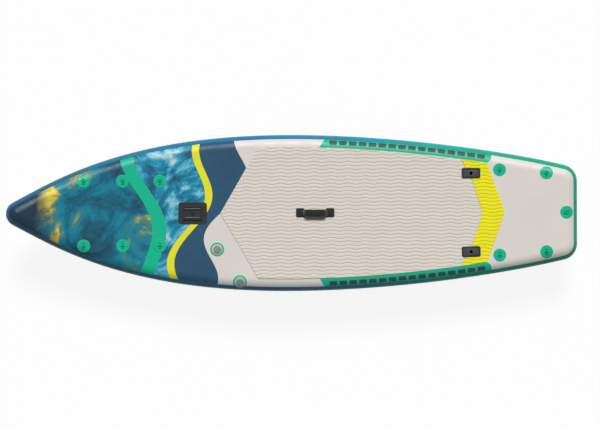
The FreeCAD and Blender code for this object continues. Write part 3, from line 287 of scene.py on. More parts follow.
def stack(loops, closed=False):
    """Form through a series of loops, capped at both ends or joined end to end."""
    n = len(loops[0])
    faces = grid_faces(len(loops), n, closed_m=closed, closed_n=True)
    if not closed:
        faces.append(tuple(range(n))[::-1])
        faces.append(tuple((len(loops) - 1) * n + k for k in range(n)))
    return [p for loop in loops for p in loop], faces


def join(parts):
    """One part out of several."""
    verts, faces = [], []
    for v, f in parts:
        base = len(verts)
        verts.extend([tuple(p) for p in v])
        faces.extend([tuple(i + base for i in face) for face in f])
    return verts, faces


def moved(part, matrix):
    return [matrix @ Vector(p) for p in part[0]], part[1]


def circle(count):
    """Cosines and sines of evenly spaced angles."""
    return [(math.cos(2 * math.pi * k / count), math.sin(2 * math.pi * k / count)) for k in range(count)]


def turned(profile, steps=72):
    """Turned form about local Z from (radius, height) pairs in millimetres."""
    loops = [[(r * MM * c, r * MM * s, z * MM) for r, z in profile] for c, s in circle(steps)]
    return stack(loops, closed=True)


def rounded(length, width, corner, z, steps=6):
    """Loop of a rounded rectangle at a height."""
    corner = min(corner, length / 2, width / 2)
    loop = []
    for quarter in range(4):
        cx = (length / 2 - corner) * (1 if quarter in (0, 3) else -1)
        cy = (width / 2 - corner) * (1 if quarter in (0, 1) else -1)
        for k in range(steps + 1):
            a = math.pi / 2 * (quarter + k / steps)
            loop.append((cx + corner * math.cos(a), cy + corner * math.sin(a), z))
    return loop


def rounded_block(length, width, low, high, corner, edge):
    """Rounded rectangle between two heights, its edges softened."""
    return stack([
        rounded(length - 2 * edge, width - 2 * edge, corner - edge, low),
        rounded(length, width, corner, low + edge),
        rounded(length, width, corner, high - edge),
        rounded(length - edge * 0.6, width - edge * 0.6, corner - edge * 0.3, high - edge * 0.3),
        rounded(length - 2 * edge, width - 2 * edge, corner - edge, high),
    ])


def box_part(x0, x1, y0, y1, z0, z1, edge=0.0006):
    """Block between two corners with softened edges."""
    part = rounded_block(x1 - x0, y1 - y0, 0.0, z1 - z0, edge * 2, edge)
    return moved(part, Matrix.Translation(((x0 + x1) / 2, (y0 + y1) / 2, z0)))


def tube(path, radius, sides=10, closed=True):
    """Round wire along a path of points."""
    p = np.array(path, float)
    ahead = np.roll(p, -1, axis=0) - np.roll(p, 1, axis=0)
    if not closed:
        ahead[0], ahead[-1] = p[1] - p[0], p[-1] - p[-2]
    ahead /= np.linalg.norm(ahead, axis=1)[:, None]
    loops = []
    for middle, way in zip(p, ahead):
        side = np.cross((0.0, 0.0, 1.0), way)
        if np.linalg.norm(side) < 1e-3:
            side = np.cross((1.0, 0.0, 0.0), way)
        side /= np.linalg.norm(side)
        over = np.cross(way, side)
        loops.append([middle + radius * (c * side + s * over) for c, s in circle(sides)])
    return stack(loops, closed)


def ribbon(line, width, wall):
    """Flat band along a line in the local YZ plane, with rounded sides; x runs across it."""
    p = np.array(line, float)
    step = np.gradient(p, axis=0)
    step /= np.linalg.norm(step, axis=1)[:, None]
    normal = np.stack([-step[:, 1], step[:, 0]], axis=1)
    h = width / 2
    e = wall * 0.35
    section = (
        (e - h, 0), (h - e, 0), (h, e), (h, wall - e), (h - e, wall), (0, wall), (e - h, wall),
        (-h, wall - e), (-h, e))
    return stack([[(x, *(point + out * z)) for x, z in section] for point, out in zip(p, normal)])


def stitch(a, b, pitch, length, radius):
    """Row of small stitches from a to b."""
    a, b = Vector(a), Vector(b)
    run = (b - a).length
    count = max(2, int(run / pitch))
    way = (b - a) / run
    parts = []
    for k in range(count):
        middle = a + way * (run * (k + 0.5) / count)
        points = [
            middle + way * (length * share) + Vector((0, 0, radius * lift))
            for share, lift in ((-1 / 2, -0.6), (-1 / 3, 0.3), (1 / 3, 0.3), (1 / 2, -0.6))]
        parts.append(tube(points, radius, 5, closed=False))
    return join(parts)


# Places of the moving and mounted pieces, from the frame

JOINTS = {joint["name"]: joint for joint in frame["joints"]}


def middle_of(node):
    """Middle of a CAD node's box."""
    low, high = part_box(node)
    return (low + high) / 2


def axes_at(origin, along, out):
    """Local frame at an origin, with X along one direction and Z near another."""
    along = Vector(along).normalized()
    out = Vector(out)
    out = (out - along * out.dot(along)).normalized()
    turn = Matrix((along, out.cross(along), out)).transposed().to_4x4()
    return Matrix.Translation(origin) @ turn


# Materials

def srgb(r, g, b):
    """Linear colour from 8-bit screen values."""
    linear = [((c / 255 + 0.055) / 1.055) ** 2.4 if c > 10 else c / 255 / 12.92 for c in (r, g, b)]
    return (*linear, 1.0)


def put(tree, socket, value):
    """Links an output to a socket, or sets the socket's own value."""
    if isinstance(value, bpy.types.NodeSocket):
        tree.links.new(value, socket)
    else:
        socket.default_value = value


def add_node(tree, kind, *values, **named):
    """New node with inputs linked or set, in order or by name."""
    node = tree.nodes.new("ShaderNode" + kind)
    for socket, value in zip(node.inputs, values):
        put(tree, socket, value)
    for name, value in named.items():
        put(tree, node.inputs[name], value)
    return node


class Paint:
    """Node material with its position in the row frame at hand."""

    def __init__(self, name, rough, metal=0.0, spec=0.5, sheen=0.0):
        self.m = bpy.data.materials.new(name)
        self.m.use_nodes = True
        self.t = self.m.node_tree
        self.b = self.t.nodes["Principled BSDF"]
        for socket, value in (
            ("Roughness", rough), ("Metallic", metal), ("Specular IOR Level", spec), ("Sheen Weight", sheen),
            ("Sheen Roughness", 0.4),
        ):
            self.b.inputs[socket].default_value = value
        self.place = self.node("TexCoord").outputs["Object"]
        self.x, self.y, self.z = self.node("SeparateXYZ", self.place).outputs

    def node(self, kind, *values, **named):
        return add_node(self.t, kind, *values, **named)

    def op(self, kind, *values):
        node = self.node("Math", *values)
        node.operation = kind
        return node.outputs[0]

    def times(self, a, b):
        return self.op("MULTIPLY", a, b)

    def plus(self, a, b):
        return self.op("ADD", a, b)

    def mix(self, share, a, b):
        node = self.node("Mix")
        node.data_type = "RGBA"
        for k, value in ((0, share), (6, a), (7, b)):
            put(self.t, node.inputs[k], value)
        return node.outputs[2]

    def noise(self, scale, detail=3.0, rough=0.5, twist=0.0, place=None):
        node = self.node(
            "TexNoise", place or self.place, Scale=scale, Detail=detail, Roughness=rough, Distortion=twist)
        return node.outputs["Fac"]

    def stretch(self, x, y, z, offset=(0, 0, 0)):
        return self.node("Mapping", self.place, Scale=(x, y, z), Location=offset).outputs[0]

    def ramp(self, share, *stops):
        """Colour that runs through stops of a place and screen values."""
        node = self.node("ValToRGB", share)
        band = node.color_ramp
        while len(band.elements) < len(stops):
            band.elements.new(0.5)
        for element, (at, *colour) in zip(band.elements, stops):
            element.position = at
            element.color = srgb(*colour)
        return node.outputs[0]

    def span(self, value, low, high, a=0.0, b=1.0):
        return self.node("MapRange", value, low, high, a, b).outputs[0]

    def wave(self, value, period):
        return self.op("SINE", self.times(value, 2 * math.pi / period))

    def weave(self):
        return self.times(self.wave(self.x, WEAVE), self.wave(self.y, WEAVE))

    def bump(self, height, strength, depth):
        node = self.node("Bump", Strength=strength, Distance=depth, Height=height)
        put(self.t, self.b.inputs["Normal"], node.outputs[0])

    def tone(self, colour, share, low, high):
        """Colour varied in brightness by a share from 0 to 1."""
        value = self.span(share, 0.25, 0.75, low, high)
        return self.node("HueSaturation", Value=value, Color=colour).outputs[0]

    def rough(self, share, low, high):
        put(self.t, self.b.inputs["Roughness"], self.span(share, 0.3, 0.7, low, high))

    def done(self, colour):
        put(self.t, self.b.inputs["Base Color"], colour)
        return self.m


PALE = srgb(219, 212, 206)
NAVY = srgb(38, 78, 104)
# DEEP is the dark navy of the painted reflection on the nose tip
DEEP = srgb(22, 48, 66)
YELLOW = srgb(229, 222, 40)
GREEN = srgb(8, 178, 138)
CLOTH_SPEC = 0.22
WEAVE = 0.0012
LINE_WIDTH = 0.045
SWELL_WIDTH = 0.086
TIP_START = -1.50
TIP_END = -1.36


def pvc(name, colour, rough=0.42):
    """Coated cloth: faint weave, clouded colour."""
    p = Paint(name, rough, spec=CLOTH_SPEC)
    cloud = p.noise(9.0, 4)
    p.rough(p.noise(40.0, 4), rough - 0.06, rough + 0.08)
    p.bump(p.plus(p.times(p.weave(), 0.5), p.noise(900.0, 2)), 0.18, 0.00012)
    return p.done(p.tone(colour, cloud, 0.96, 1.04))


def rail_colour(p):
    """Blue forward, turning teal and then green towards the tail."""
    base = p.ramp(
        p.span(p.x, -LENGTH / 2, LENGTH / 2), (0.0, 30, 92, 128), (0.20, 36, 120, 152), (0.44, 30, 118, 164),
        (0.62, 22, 140, 168), (0.74, 20, 164, 160), (0.84, 18, 168, 138), (1.0, 16, 160, 126))
    return p.tone(base, p.noise(3.0, 5, 0.6, 1.2, p.stretch(1.0, 2.0, 4.0)), 0.90, 1.10)


def front(p, at, lean, reach, length, phase):
    """Distance aft of a wavy line that crosses the board."""
    swing = p.op("SINE", p.op("MULTIPLY_ADD", p.y, 2 * math.pi / length, phase))
    line = p.op("MULTIPLY_ADD", swing, reach, p.op("MULTIPLY_ADD", p.y, lean, at))
    return p.op("SUBTRACT", p.x, line)


def print_and_nose_reflection(p):
    """Wave fronts over a pale deck: navy, a thin yellow line, marbled fields and a green swell, and a painted
    reflection that darkens the nose tip to deep navy.
    """
    flow = p.noise(2.3, 7, 0.62, 1.9, p.stretch(1.0, 1.25, 1.0, (3.1, 0.4, 0.0)))
    share = p.plus(p.times(flow, 0.86), p.times(p.noise(14.0, 6, 0.7, 0.8), 0.14))
    warm = p.ramp(
        share, (0.30, 24, 52, 70), (0.40, 14, 92, 116), (0.465, 16, 122, 146), (0.52, 48, 124, 122),
        (0.565, 150, 146, 92), (0.61, 222, 198, 66), (0.68, 236, 222, 96))
    cold = p.ramp(
        p.noise(3.4, 7, 0.6, 2.4, p.stretch(1.0, 1.0, 1.0, (7.7, 2.2, 0.0))), (0.32, 30, 62, 84),
        (0.43, 34, 96, 124), (0.50, 20, 140, 172), (0.56, 96, 176, 196), (0.66, 196, 208, 212))
    navy = p.tone(NAVY, p.noise(5.0, 4), 0.88, 1.12)
    shore = front(p, -0.420, 0.30, 0.085, 0.62, -0.3)
    line = front(p, -0.590, 0.22, 0.075, 0.70, 0.9)
    swell = front(p, -0.860, -0.14, 0.070, 0.84, 2.1)
    colour = PALE
    for edge, width, field in (
        (shore, 0.0, navy), (line, 0.0, YELLOW), (line, LINE_WIDTH, cold), (swell, 0.0, GREEN),
        (swell, SWELL_WIDTH, warm),
    ):
        colour = p.mix(p.op("LESS_THAN", edge, -width), colour, field)
    # Painted reflection: the nose tip fades to deep navy, standing in for the dark sheen on the upturned nose
    ragged = p.plus(p.x, p.times(p.noise(6.0, 5, 0.6, 1.0), 0.16))
    return p.mix(p.op("SUBTRACT", 1.0, p.span(ragged, TIP_START, TIP_END)), colour, DEEP)


def printed_with_nose_reflection(name):
    """Printed cloth of the deck and shoulders, with a painted reflection darkening the nose tip."""
    p = Paint(name, 0.40, spec=CLOTH_SPEC)
    p.rough(p.noise(30.0, 4), 0.34, 0.46)
    p.bump(p.plus(p.times(p.weave(), 0.5), p.noise(700.0, 2)), 0.16, 0.00012)
    return p.done(p.tone(print_and_nose_reflection(p), p.noise(5.0, 4), 0.975, 1.025))


def tape_paint(name):
    """Creased tape of the rails."""
    p = Paint(name, 0.36, spec=0.14)
    p.rough(p.noise(26.0, 5), 0.30, 0.44)
    creases = p.noise(30.0, 4, 0.55, 0.6, p.stretch(1.0, 1.0, 0.25))
    p.bump(p.plus(p.times(p.weave(), 0.02), creases), 0.35, 0.0012)
    return p.done(p.tone(rail_colour(p), p.noise(7.0, 5), 0.95, 1.05))


def foam(name, colour, shade):
    """Closed-cell foam: fine pores, with painted shade on the floors of its grooves."""
    p = Paint(name, 0.72, spec=0.25, sheen=0.08)
    pores = p.noise(1500.0, 2, 0.6)
    cloud = p.noise(7.0, 5)
    top = THICK + PAD_WALL
    depth = p.span(p.z, top - 0.0016, top - 0.0003)
    tone = p.tone(colour, p.plus(p.times(cloud, 0.8), p.times(pores, 0.2)), 0.965, 1.035)
    p.rough(cloud, 0.66, 0.80)
    p.bump(pores, 0.35, 0.00025)
    # Painted shade: the colour darkens to the shade colour towards the groove floors
    return p.done(p.mix(depth, shade, tone))


def plastic(name, colour, rough):
    """Moulded plastic with a fine grain."""
    p = Paint(name, rough, spec=CLOTH_SPEC)
    p.rough(p.noise(60.0, 4), rough - 0.08, rough + 0.10)
    p.bump(p.noise(1680.0, 3, 0.6), 0.2, 0.00012)
    return p.done(p.tone(colour, p.noise(35.0, 4), 0.93, 1.07))


def webbing(name, colour, period=0.0022):
    """Ribbed woven band."""
    p = Paint(name, 0.78, spec=0.25, sheen=0.35)
    rib = p.times(p.wave(p.x, period), p.wave(p.plus(p.y, p.times(p.x, 0.5)), period * 0.75))
    share = p.plus(p.times(rib, 0.25), p.noise(300.0, 3))
    p.bump(p.plus(rib, p.noise(900.0, 2)), 0.55, 0.00035)
    return p.done(p.tone(colour, share, 0.72, 1.28))


def metal(name, colour, rough, metallic=1.0):
    """Brushed or coated metal."""
    p = Paint(name, rough, metal=metallic)
    brushed = p.noise(600.0, 3, 0.6, 0.0, p.stretch(0.05, 1.0, 1.0))
    p.rough(brushed, rough - 0.08, rough + 0.12)
    p.bump(brushed, 0.12, 0.00008)
    return p.done(p.tone(colour, p.noise(80.0, 3), 0.94, 1.06))


deck_paint = printed_with_nose_reflection("deck_print")
bottom_paint = pvc("bottom_cloth", srgb(206, 210, 210))
tape_blue = tape_paint("rail_tape_cloth")
green_cloth = pvc("green_cloth", GREEN, 0.38)
dark_cloth = pvc("dark_cloth", srgb(30, 31, 33), 0.5)
mark_paint = pvc("mark_ink", srgb(60, 66, 68), 0.5)
# The second colour of each foam is its painted groove shade
beige_foam = foam("beige_foam", srgb(219, 212, 202), srgb(186, 177, 165))
yellow_foam = foam("yellow_foam", srgb(236, 230, 28), srgb(184, 178, 22))
black_web = webbing("black_webbing", srgb(30, 31, 34))
green_web = webbing("green_webbing", srgb(10, 152, 120))
stitch_dark = webbing("stitch_thread_dark", srgb(70, 72, 76), 0.0006)
stitch_green = webbing("stitch_thread_green", srgb(8, 120, 94), 0.0006)
mount_plastic = plastic("mount_nylon", srgb(36, 37, 40), 0.5)
inlay_plastic = plastic("mount_inlay", srgb(62, 64, 68), 0.55)
bar_metal = metal("rail_bars", srgb(66, 69, 72), 0.42)
ring_paint = metal("ring_coat", srgb(12, 150, 116), 0.34, 0.25)
valve_white = plastic("valve_nylon", srgb(206, 208, 208), 0.34)
cap_grey = plastic("cap_plastic", srgb(150, 140, 134), 0.38)
stem_white = plastic("stem_acetal", srgb(222, 222, 220), 0.3)
seal_black = plastic("seal_silicone", srgb(28, 28, 30), 0.6)
steel = metal("spring_steel", srgb(176, 176, 178), 0.28)
fin_black = plastic("fin_nylon", srgb(24, 26, 29), 0.36)
lever_orange = plastic("lever_nylon", srgb(216, 96, 24), 0.4)
fin_rubber = plastic("side_fin_rubber", srgb(30, 33, 37), 0.5)
neoprene = webbing("neoprene", srgb(26, 27, 30), 0.0016)
thread_white = webbing("drop_thread", srgb(232, 232, 228), 0.001)

# CAD nodes that keep their own shape

for name, material in (
    ("valve_nuts", valve_white), ("fin_box", fin_black), ("fin_lever", lever_orange),
    ("fin_lever_pin", steel),
):
    mesh = frame["nodes"][name].data
    mesh.materials.clear()
    mesh.materials.append(material)

# Valve places

CAP_REACH = 0.0293
CAP_RISE = 0.0073
HOLE = 19.8
HOLE_DEPTH = 60


def valve_frame(name):
    """Frame on the skin at a valve: X towards its cap's hinge and Z out along its poppet's way."""
    hinge = JOINTS[name + "_cap_hinge"]
    up = -Vector(JOINTS[name + "_poppet_slide"]["axis"])
    along = Vector(hinge["axis"]).cross(up)
    return axes_at(Vector(hinge["pos_m"]) - along * CAP_REACH - up * CAP_RISE, along, up)


VALVES = {name: valve_frame(name) for name in ("main", "side")}


def valve_hole(obj, name):
    """Opens the skin for a valve's barrel."""
    bore = turned([(0.1, -HOLE_DEPTH), (HOLE, -HOLE_DEPTH), (HOLE, HOLE_DEPTH), (0.1, HOLE_DEPTH)], 48)
    cut(obj, build("hole_tool", moved(bore, VALVES[name]), bottom_paint), "DIFFERENCE")


# Hull skins

ACROSS = 24
NOSE_STEPS = 14
RAIL_STEPS = 36


def sheet(top, low):
    """Deck or bottom skin between two heights above the hull's middle line."""
    rows = []
    for x, y in EDGE_PLAN:
        ys = np.linspace(-y, y, 2 * ACROSS + 1)
        rows.append(np.stack([np.full_like(ys, x), ys, np.full_like(ys, bottom_z(x))], axis=1))
    rows = np.array(rows)
    return shell(rows + (0, 0, top), rows + (0, 0, low))


deck = build("deck_skin", sheet(THICK, THICK - WALL), deck_paint, "deck_sheet")
valve_hole(deck, "main")
build("bottom_skin", sheet(WALL, 0), bottom_paint, "bottom_sheet")


def rail_rows(plan, outs, nose=True):
    """Spine points and outward directions, with the turn round the nose first."""
    if nose:
        turns = np.linspace(math.pi, math.atan2(outs[0][1], outs[0][0]), NOSE_STEPS + 1)[:-1]
        plan = np.vstack([np.repeat(plan[:1], len(turns), axis=0), plan])
        outs = np.vstack([np.stack([np.cos(turns), np.sin(turns)], axis=1), outs])
    centre = np.column_stack([plan, RADIUS + rocker(plan[:, 0])[0]])
    return centre, np.column_stack([outs, np.zeros(len(outs))])


def rail_grid(centre, outs, radius, angles):
    """Points round the spine at some angles above its level."""
    a = np.radians(angles)
    r = np.broadcast_to(radius, (len(centre), len(angles)))
    level = (r * np.cos(a))[:, :, None] * outs[:, None, :]
    up = (r * np.sin(a))[:, :, None] * np.array([0.0, 0.0, 1.0])
    return centre[:, None, :] + level + up


rail = rail_rows(PLAN, OUTS)
angles = np.linspace(-90, 90, RAIL_STEPS + 1)
wall_part = shell(rail_grid(*rail, RADIUS, angles), rail_grid(*rail, RADIUS - WALL, angles))
upper = [0 if j >= RAIL_STEPS // 2 else 1 for _ in rail[0][1:] for j in range(RAIL_STEPS)]
index = upper * 2 + [0] * (len(wall_part[1]) - 2 * len(upper))
for side, name in SIDES:
    wall = build(
        "rail_skin_" + name, sided(wall_part, side), [deck_paint, bottom_paint], "rail_wall_" + name,
        slots=index)
    if side < 0:
        valve_hole(wall, "side")

# Tape over the rail, with small puckers where the rail curves most

TAPE_STEPS = 18
PUCKER_PITCH = 0.031
PUCKER_HEIGHT = 0.00045
PUCKER_SINK = 0.0003
PUCKER_X = -0.15
PUCKER_REACH = 0.75
PUCKER_BEAT = 7.3
PUCKER_SHARE = 0.4
TAPE_EDGE = 0.5
TAIL_GAP = 0.058
TAIL_LAP = 0.060
TAIL_ROWS = 15
NOSE_ROWS = 5
NOSE_LIFT = 0.0003
UNDER_TAPE = 0.00006

fine_plan, fine_outs = spine(TAPE_ROWS)
centre, outs = rail_rows(fine_plan, fine_outs, nose=False)
angles = np.linspace(-TAPE_ANGLE, TAPE_ANGLE, TAPE_STEPS + 1)
run = run_along(centre)
swell = np.exp(-((centre[:, 0] - PUCKER_X) / PUCKER_REACH) ** 2)
beat = 1 - PUCKER_SHARE + PUCKER_SHARE * np.sin(run * PUCKER_BEAT)
ripple = np.sin(run * 2 * math.pi / PUCKER_PITCH) * beat
shape = np.cos(np.radians(angles) * 90 / TAPE_ANGLE)
pucker = (swell * (PUCKER_HEIGHT * ripple - PUCKER_SINK))[:, None] * shape[None, :]
edge = np.ones(TAPE_STEPS + 1)
edge[[0, -1]] = TAPE_EDGE
kept = ~((fine_plan[:, 0] >= END - 1e-6) & (fine_plan[:, 1] < TAIL_GAP))
tape_part = shell(
    rail_grid(centre, outs, RADIUS + TAPE_WALL * edge[None, :] + pucker, angles)[kept],
    rail_grid(centre, outs, RADIUS + FILM, angles)[kept])
for side, name in SIDES:
    build("rail_band_" + name, sided(tape_part, side), tape_blue, "rail_tape_" + name)

nose = [
    np.vstack([rows[::-1], rows[1:] * (1, -1, 1)]) for rows in rail_rows(PLAN[:NOSE_ROWS], OUTS[:NOSE_ROWS])]
tail_y = np.linspace(TAIL_LAP, -TAIL_LAP, TAIL_ROWS)
tail = (
    np.column_stack([np.full(TAIL_ROWS, END), tail_y, np.full(TAIL_ROWS, RADIUS + bottom_z(END))]),
    np.tile([1.0, 0.0, 0.0], (TAIL_ROWS, 1)))
for name, rows, lift in (("nose", nose, NOSE_LIFT), ("tail", tail, 0.0)):
    part = shell(
        rail_grid(*rows, RADIUS + (TAPE_WALL + lift) * edge[None, :], angles),
        rail_grid(*rows, RADIUS + UNDER_TAPE, angles))
    build(name + "_patch", part, tape_blue, "seam_patches")

# Drop threads between the sheets

THREAD_ROWS = range(-4, 5)
ROW_PITCH = 0.09
THREAD_PITCH = 0.05
THREAD_START = -1.62
THREAD_COUNT = 66
THREAD_LEAN = 0.012
THREAD_GAP = 0.001
THREAD_RADIUS = 0.0006
THREAD_REACH = 0.03
THREAD_ROOM = 0.004

threads = []
for row in THREAD_ROWS:
    y = row * ROW_PITCH
    for k in range(THREAD_COUNT):
        x = THREAD_START + k * THREAD_PITCH
        if abs(y) > min(half_width(x), half_width(x + THREAD_REACH)) - THREAD_ROOM:
            continue
        for lean in (-1, 1):
            low = (x - THREAD_LEAN * lean, y, bottom_z(x) + WALL)
            high = (x + THREAD_LEAN * lean, y + THREAD_GAP * lean, bottom_z(x) + THICK - WALL)
            threads.append(tube([low, high], THREAD_RADIUS, 4, closed=False))
build("drop_threads", join(threads), thread_white, "thread_rows")

# Ruler strips and their marks on the shoulders

STRIP_RADIUS = RADIUS + 0.0007
MARK_RADIUS = STRIP_RADIUS + 0.0004
STRIP_GAP = 0.6
STRIP_START = 0.192
STRIP_END = 1.190
STRIP_SLANT = 0.030
STRIP_BOW = 0.023
STRIP_STEPS = 13
MARK_COUNT = 16
MARK_START = 0.246
MARK_PITCH = 0.06035
MARK_LOW = 0.045
MARK_HIGH = 0.019
MARK_HALF = 0.0235
MARK_END_HALF = 0.0215
MARK_STEPS = 9
STRIP_POINTS = 150


def shoulder_patch(starts, ends, angles, radius, low, steps):
    """Closed patch on the shoulder whose ends vary from angle to angle."""
    layers = ([], [])
    for a, x0, x1 in zip(angles, starts, ends):
        x = np.linspace(x0, x1, steps)
        xs = PLAN[:SIDE_ROWS, 0]
        out = np.column_stack([np.interp(x, xs, OUTS[:SIDE_ROWS, k]) for k in range(2)] + [np.zeros(steps)])
        out /= np.linalg.norm(out, axis=1)[:, None]
        centre = np.column_stack([x, np.interp(x, xs, PLAN[:SIDE_ROWS, 1]), RADIUS + rocker(x)[0]])
        for layer, r in zip(layers, (radius, low)):
            layer.append(rail_grid(centre, out, r, np.array([a]))[:, 0, :])
    return shell(*map(np.array, layers))


share = np.linspace(0, 1, STRIP_STEPS)
strip = shoulder_patch(
    STRIP_START - STRIP_SLANT * share,
    STRIP_END + STRIP_BOW * np.sin(math.pi * np.clip(1.15 * (1 - share), 0, 0.62) / 1.24) ** 0.8,
    np.linspace(TAPE_ANGLE + STRIP_GAP, 90, STRIP_STEPS), STRIP_RADIUS, RADIUS + FILM, STRIP_POINTS)
half = np.array([MARK_END_HALF] + [MARK_HALF] * 5 + [MARK_END_HALF])
mark_angles = np.degrees(np.arccos(np.linspace(MARK_LOW, MARK_HIGH, len(half)) / RADIUS))
marks = []
for k in range(MARK_COUNT):
    x = MARK_START + k * MARK_PITCH
    low = STRIP_RADIUS - LIFT
    marks.append(shoulder_patch(x - half, x + half, mark_angles, MARK_RADIUS, low, MARK_STEPS))
for side, name in SIDES:
    build("ruler_band_" + name, sided(strip, side), green_cloth, "ruler_strip_" + name)
    scale = join([sided(mark, side) for mark in marks])
    build("ruler_scale_" + name, scale, mark_paint, "ruler_marks_" + name)

# Grooved foam pads

PITCH = 0.0222
SWAY = 0.0038
SWAY_LENGTH = 0.104
SWAY_STEP = 0.0065
GROOVE = 0.0022
GROOVE_SHAPE = ((0.0, -1.0), (0.0021, -0.12), (0.0036, 0.0), (0.0111, 0.06), (0.0186, 0.0), (0.0201, -0.12))
PAD_SINK = 0.004
PAD_LIFT = 0.00003
PAD_ROOM = 0.02
PAD_CREASE = 50
SIDE_POINTS = 60
PORT_TURN = 2.0
FOOT_REACH = 0.092
HANDLE_X = middle_of("handle_strap").x
SEATS = (HANDLE_X - FOOT_REACH, HANDLE_X + FOOT_REACH)
REAR_MOUNTS = [
    (name, *middle_of("rear_mount_" + name)[:2], 0.0 if side > 0 else PORT_TURN) for side, name in SIDES]
MOUNT_SLOT = (0.118, 0.067, 0.014)
FOOT_SLOT = (0.056, 0.060, 0.010)
SLOT_DEPTH = 0.01
SLOT_RISE = 0.03
PAD_EDGE = 0.0015
PAD_FRONT = -0.446
PAD_SIDE_X = -0.213
PAD_SIDE_END = 1.0315
PAD_SLOPE = 0.574
PAD_GAP = 0.004
PAD_TAIL = [(1.101, 0.190), (1.157, 0.020)]
KICK_NOTCH = [(1.160, 0.020), (1.104, 0.190)]
KICK_SIDE_END = 1.186
KICK_TAIL = [(1.198, 0.289), (1.297, 0.009)]
PAD_SLAB = (-0.47, 1.19, 0.42)
KICK_SLAB = (1.00, 1.32, 0.36)


def grooved_slab(x0, x1, half):
    """Slab with wavy lengthwise grooves cut in its top."""
    rows = int(half / PITCH) + 2
    profile = np.array([
        (r * PITCH + off, z * GROOVE) for r in range(-rows, rows) for off, z in GROOVE_SHAPE])
    top = []
    for x in np.arange(x0, x1, SWAY_STEP):
        sway = SWAY * math.sin(2 * math.pi * x / SWAY_LENGTH)
        top.append(np.column_stack([
            np.full(len(profile), x), profile[:, 0] + sway, THICK + PAD_WALL + profile[:, 1]]))
    top = np.array(top)
    low = top.copy()
    low[:, :, 2] = THICK - PAD_SINK
    return shell(top, low)


def side_line(x0, x1):
    """Points along the pad's edge, just inside the deck's."""
    return [(x, float(half_width(x)) - PAD_EDGE) for x in np.linspace(x0, x1, SIDE_POINTS)]


def mirrored(half):
    return half + [(x, -y) for x, y in reversed(half) if y > 0]


def slot(x, y, size, turn=0.0):
    """Cutter for the opening round a plate on the pad."""
    place = Matrix.Translation((x, y, THICK - SLOT_DEPTH)) @ Matrix.Rotation(math.radians(turn), 4, "Z")
    return moved(stack([rounded(*size, 0.0), rounded(*size, SLOT_RISE)]), place)


def pad_piece(name, points, box, material, node):
    """Grooved pad with an outline and its openings."""
    pad = build(name, grooved_slab(*box), material, node, crease=60)
    outline = stack([[(x, y, THICK + h) for x, y in points] for h in (PAD_LIFT, PAD_ROOM)])
    cut(pad, build("pad_tool", outline, bottom_paint), "INTERSECT")
    holes = [slot(x, y, MOUNT_SLOT, turn) for _, x, y, turn in REAR_MOUNTS]
    holes += [slot(x, 0, FOOT_SLOT) for x in SEATS]
    cut(pad, build("hole_tool", join(holes), bottom_paint), "DIFFERENCE")
    smooth(pad.data, PAD_CREASE)
    pad.data.materials.clear()
    pad.data.materials.append(material)
    pad.data.polygons.foreach_set("material_index", [0] * len(pad.data.polygons))


pad_half = side_line(PAD_SIDE_X, PAD_SIDE_END)
arm_end = (PAD_FRONT + PAD_SLOPE * float(half_width(PAD_SIDE_X)), pad_half[0][1])
pad_half = [(PAD_FRONT, 0.0), arm_end] + [q for q in pad_half if q[0] > arm_end[0] + PAD_GAP]
last_x, last_y = pad_half[-1]
kick_half = KICK_NOTCH + [(last_x + PAD_GAP, last_y)]
kick_half += side_line(last_x + 3 * PAD_GAP, KICK_SIDE_END) + KICK_TAIL
pad_piece("foam_deck", mirrored(pad_half + PAD_TAIL), PAD_SLAB, beige_foam, "deck_pad")
pad_piece("foam_kick", mirrored(kick_half), KICK_SLAB, yellow_foam, "tail_pad")

# Ring patches, tabs and rings. Stitches are pitch, length and radius of the thread

DISC_RADIUS = 0.040
DISC_STEPS = 56
DISC_SHARES = (0.0, 0.3, 0.6, 0.85, 0.955, 0.985, 1.0)
DISC_EDGE = 0.045
RING_HALF = 0.0118
RING_LEG = 0.002
RING_BEND = 0.0016
RING_WIRE = 0.0015
TAB_GAP = 0.00015
BORE_GAP = 0.0003
WEB_WALL = 0.0012
PIVOT = PATCH + TAB_GAP + RING_WIRE * math.sqrt(2) + BORE_GAP + WEB_WALL
TAB_BASE = -PIVOT + PATCH + LIFT
TAB_WALL = 0.0011
TAB_OUTER = 0.0034
TAB_BORE = 0.0021
TAB_END = -0.0200
TAB_HALF = 0.0085
TAB_BEVEL = 0.0003
TAB_STITCH = (0.0024, 0.0018, 0.00028)
STITCH_HALF = 0.007
STITCH_Z = -PIVOT + PATCH + 0.0025
STITCH_ROWS = (
    ((-1, -0.0185), (1, -0.0185)), ((-1, -0.0085), (1, -0.0085)), ((-1, -0.018), (1, -0.009)),
    ((1, -0.018), (-1, -0.009)))


def arc(x, y, radius, first, last, shares):
    """Points on part of a circle, at shares of the way from one angle to another."""
    turns = [math.radians(first + (last - first) * share) for share in shares]
    return [(x + radius * math.cos(a), y + radius * math.sin(a)) for a in turns]


def patch_disc(x, y):
    """Round patch laid on the hull, its edge rounded down."""
    top, low = [], []
    a = np.linspace(0, 2 * math.pi, DISC_STEPS, endpoint=False)
    for r in DISC_SHARES:
        lift = FILM + PATCH * math.sqrt(max(0.0, 1 - max(0.0, (r - 1 + DISC_EDGE) / DISC_EDGE) ** 2))
        ring = (x + DISC_RADIUS * r * np.cos(a), y + DISC_RADIUS * r * np.sin(a))
        top.append(skin(*ring, lift)[0])
        low.insert(0, skin(*ring, FILM * 0.5)[0])
    return stack(top + low)


def ring_part():
    """Ring with a straight bar, rounded corners, two legs and a bow."""
    bend = RING_HALF - RING_BEND
    corner = (0.2, 0.4, 0.6, 0.8)
    points = [(-bend, 0), (bend, 0)] + arc(bend, RING_BEND, RING_BEND, -90, 0, corner)
    points += arc(0, RING_LEG, RING_HALF, 0, 180, np.linspace(0, 1, 25))
    points += arc(-bend, RING_BEND, RING_BEND, 180, 270, corner)
    return tube([(x, y, 0.0) for x, y in points], RING_WIRE, 12)


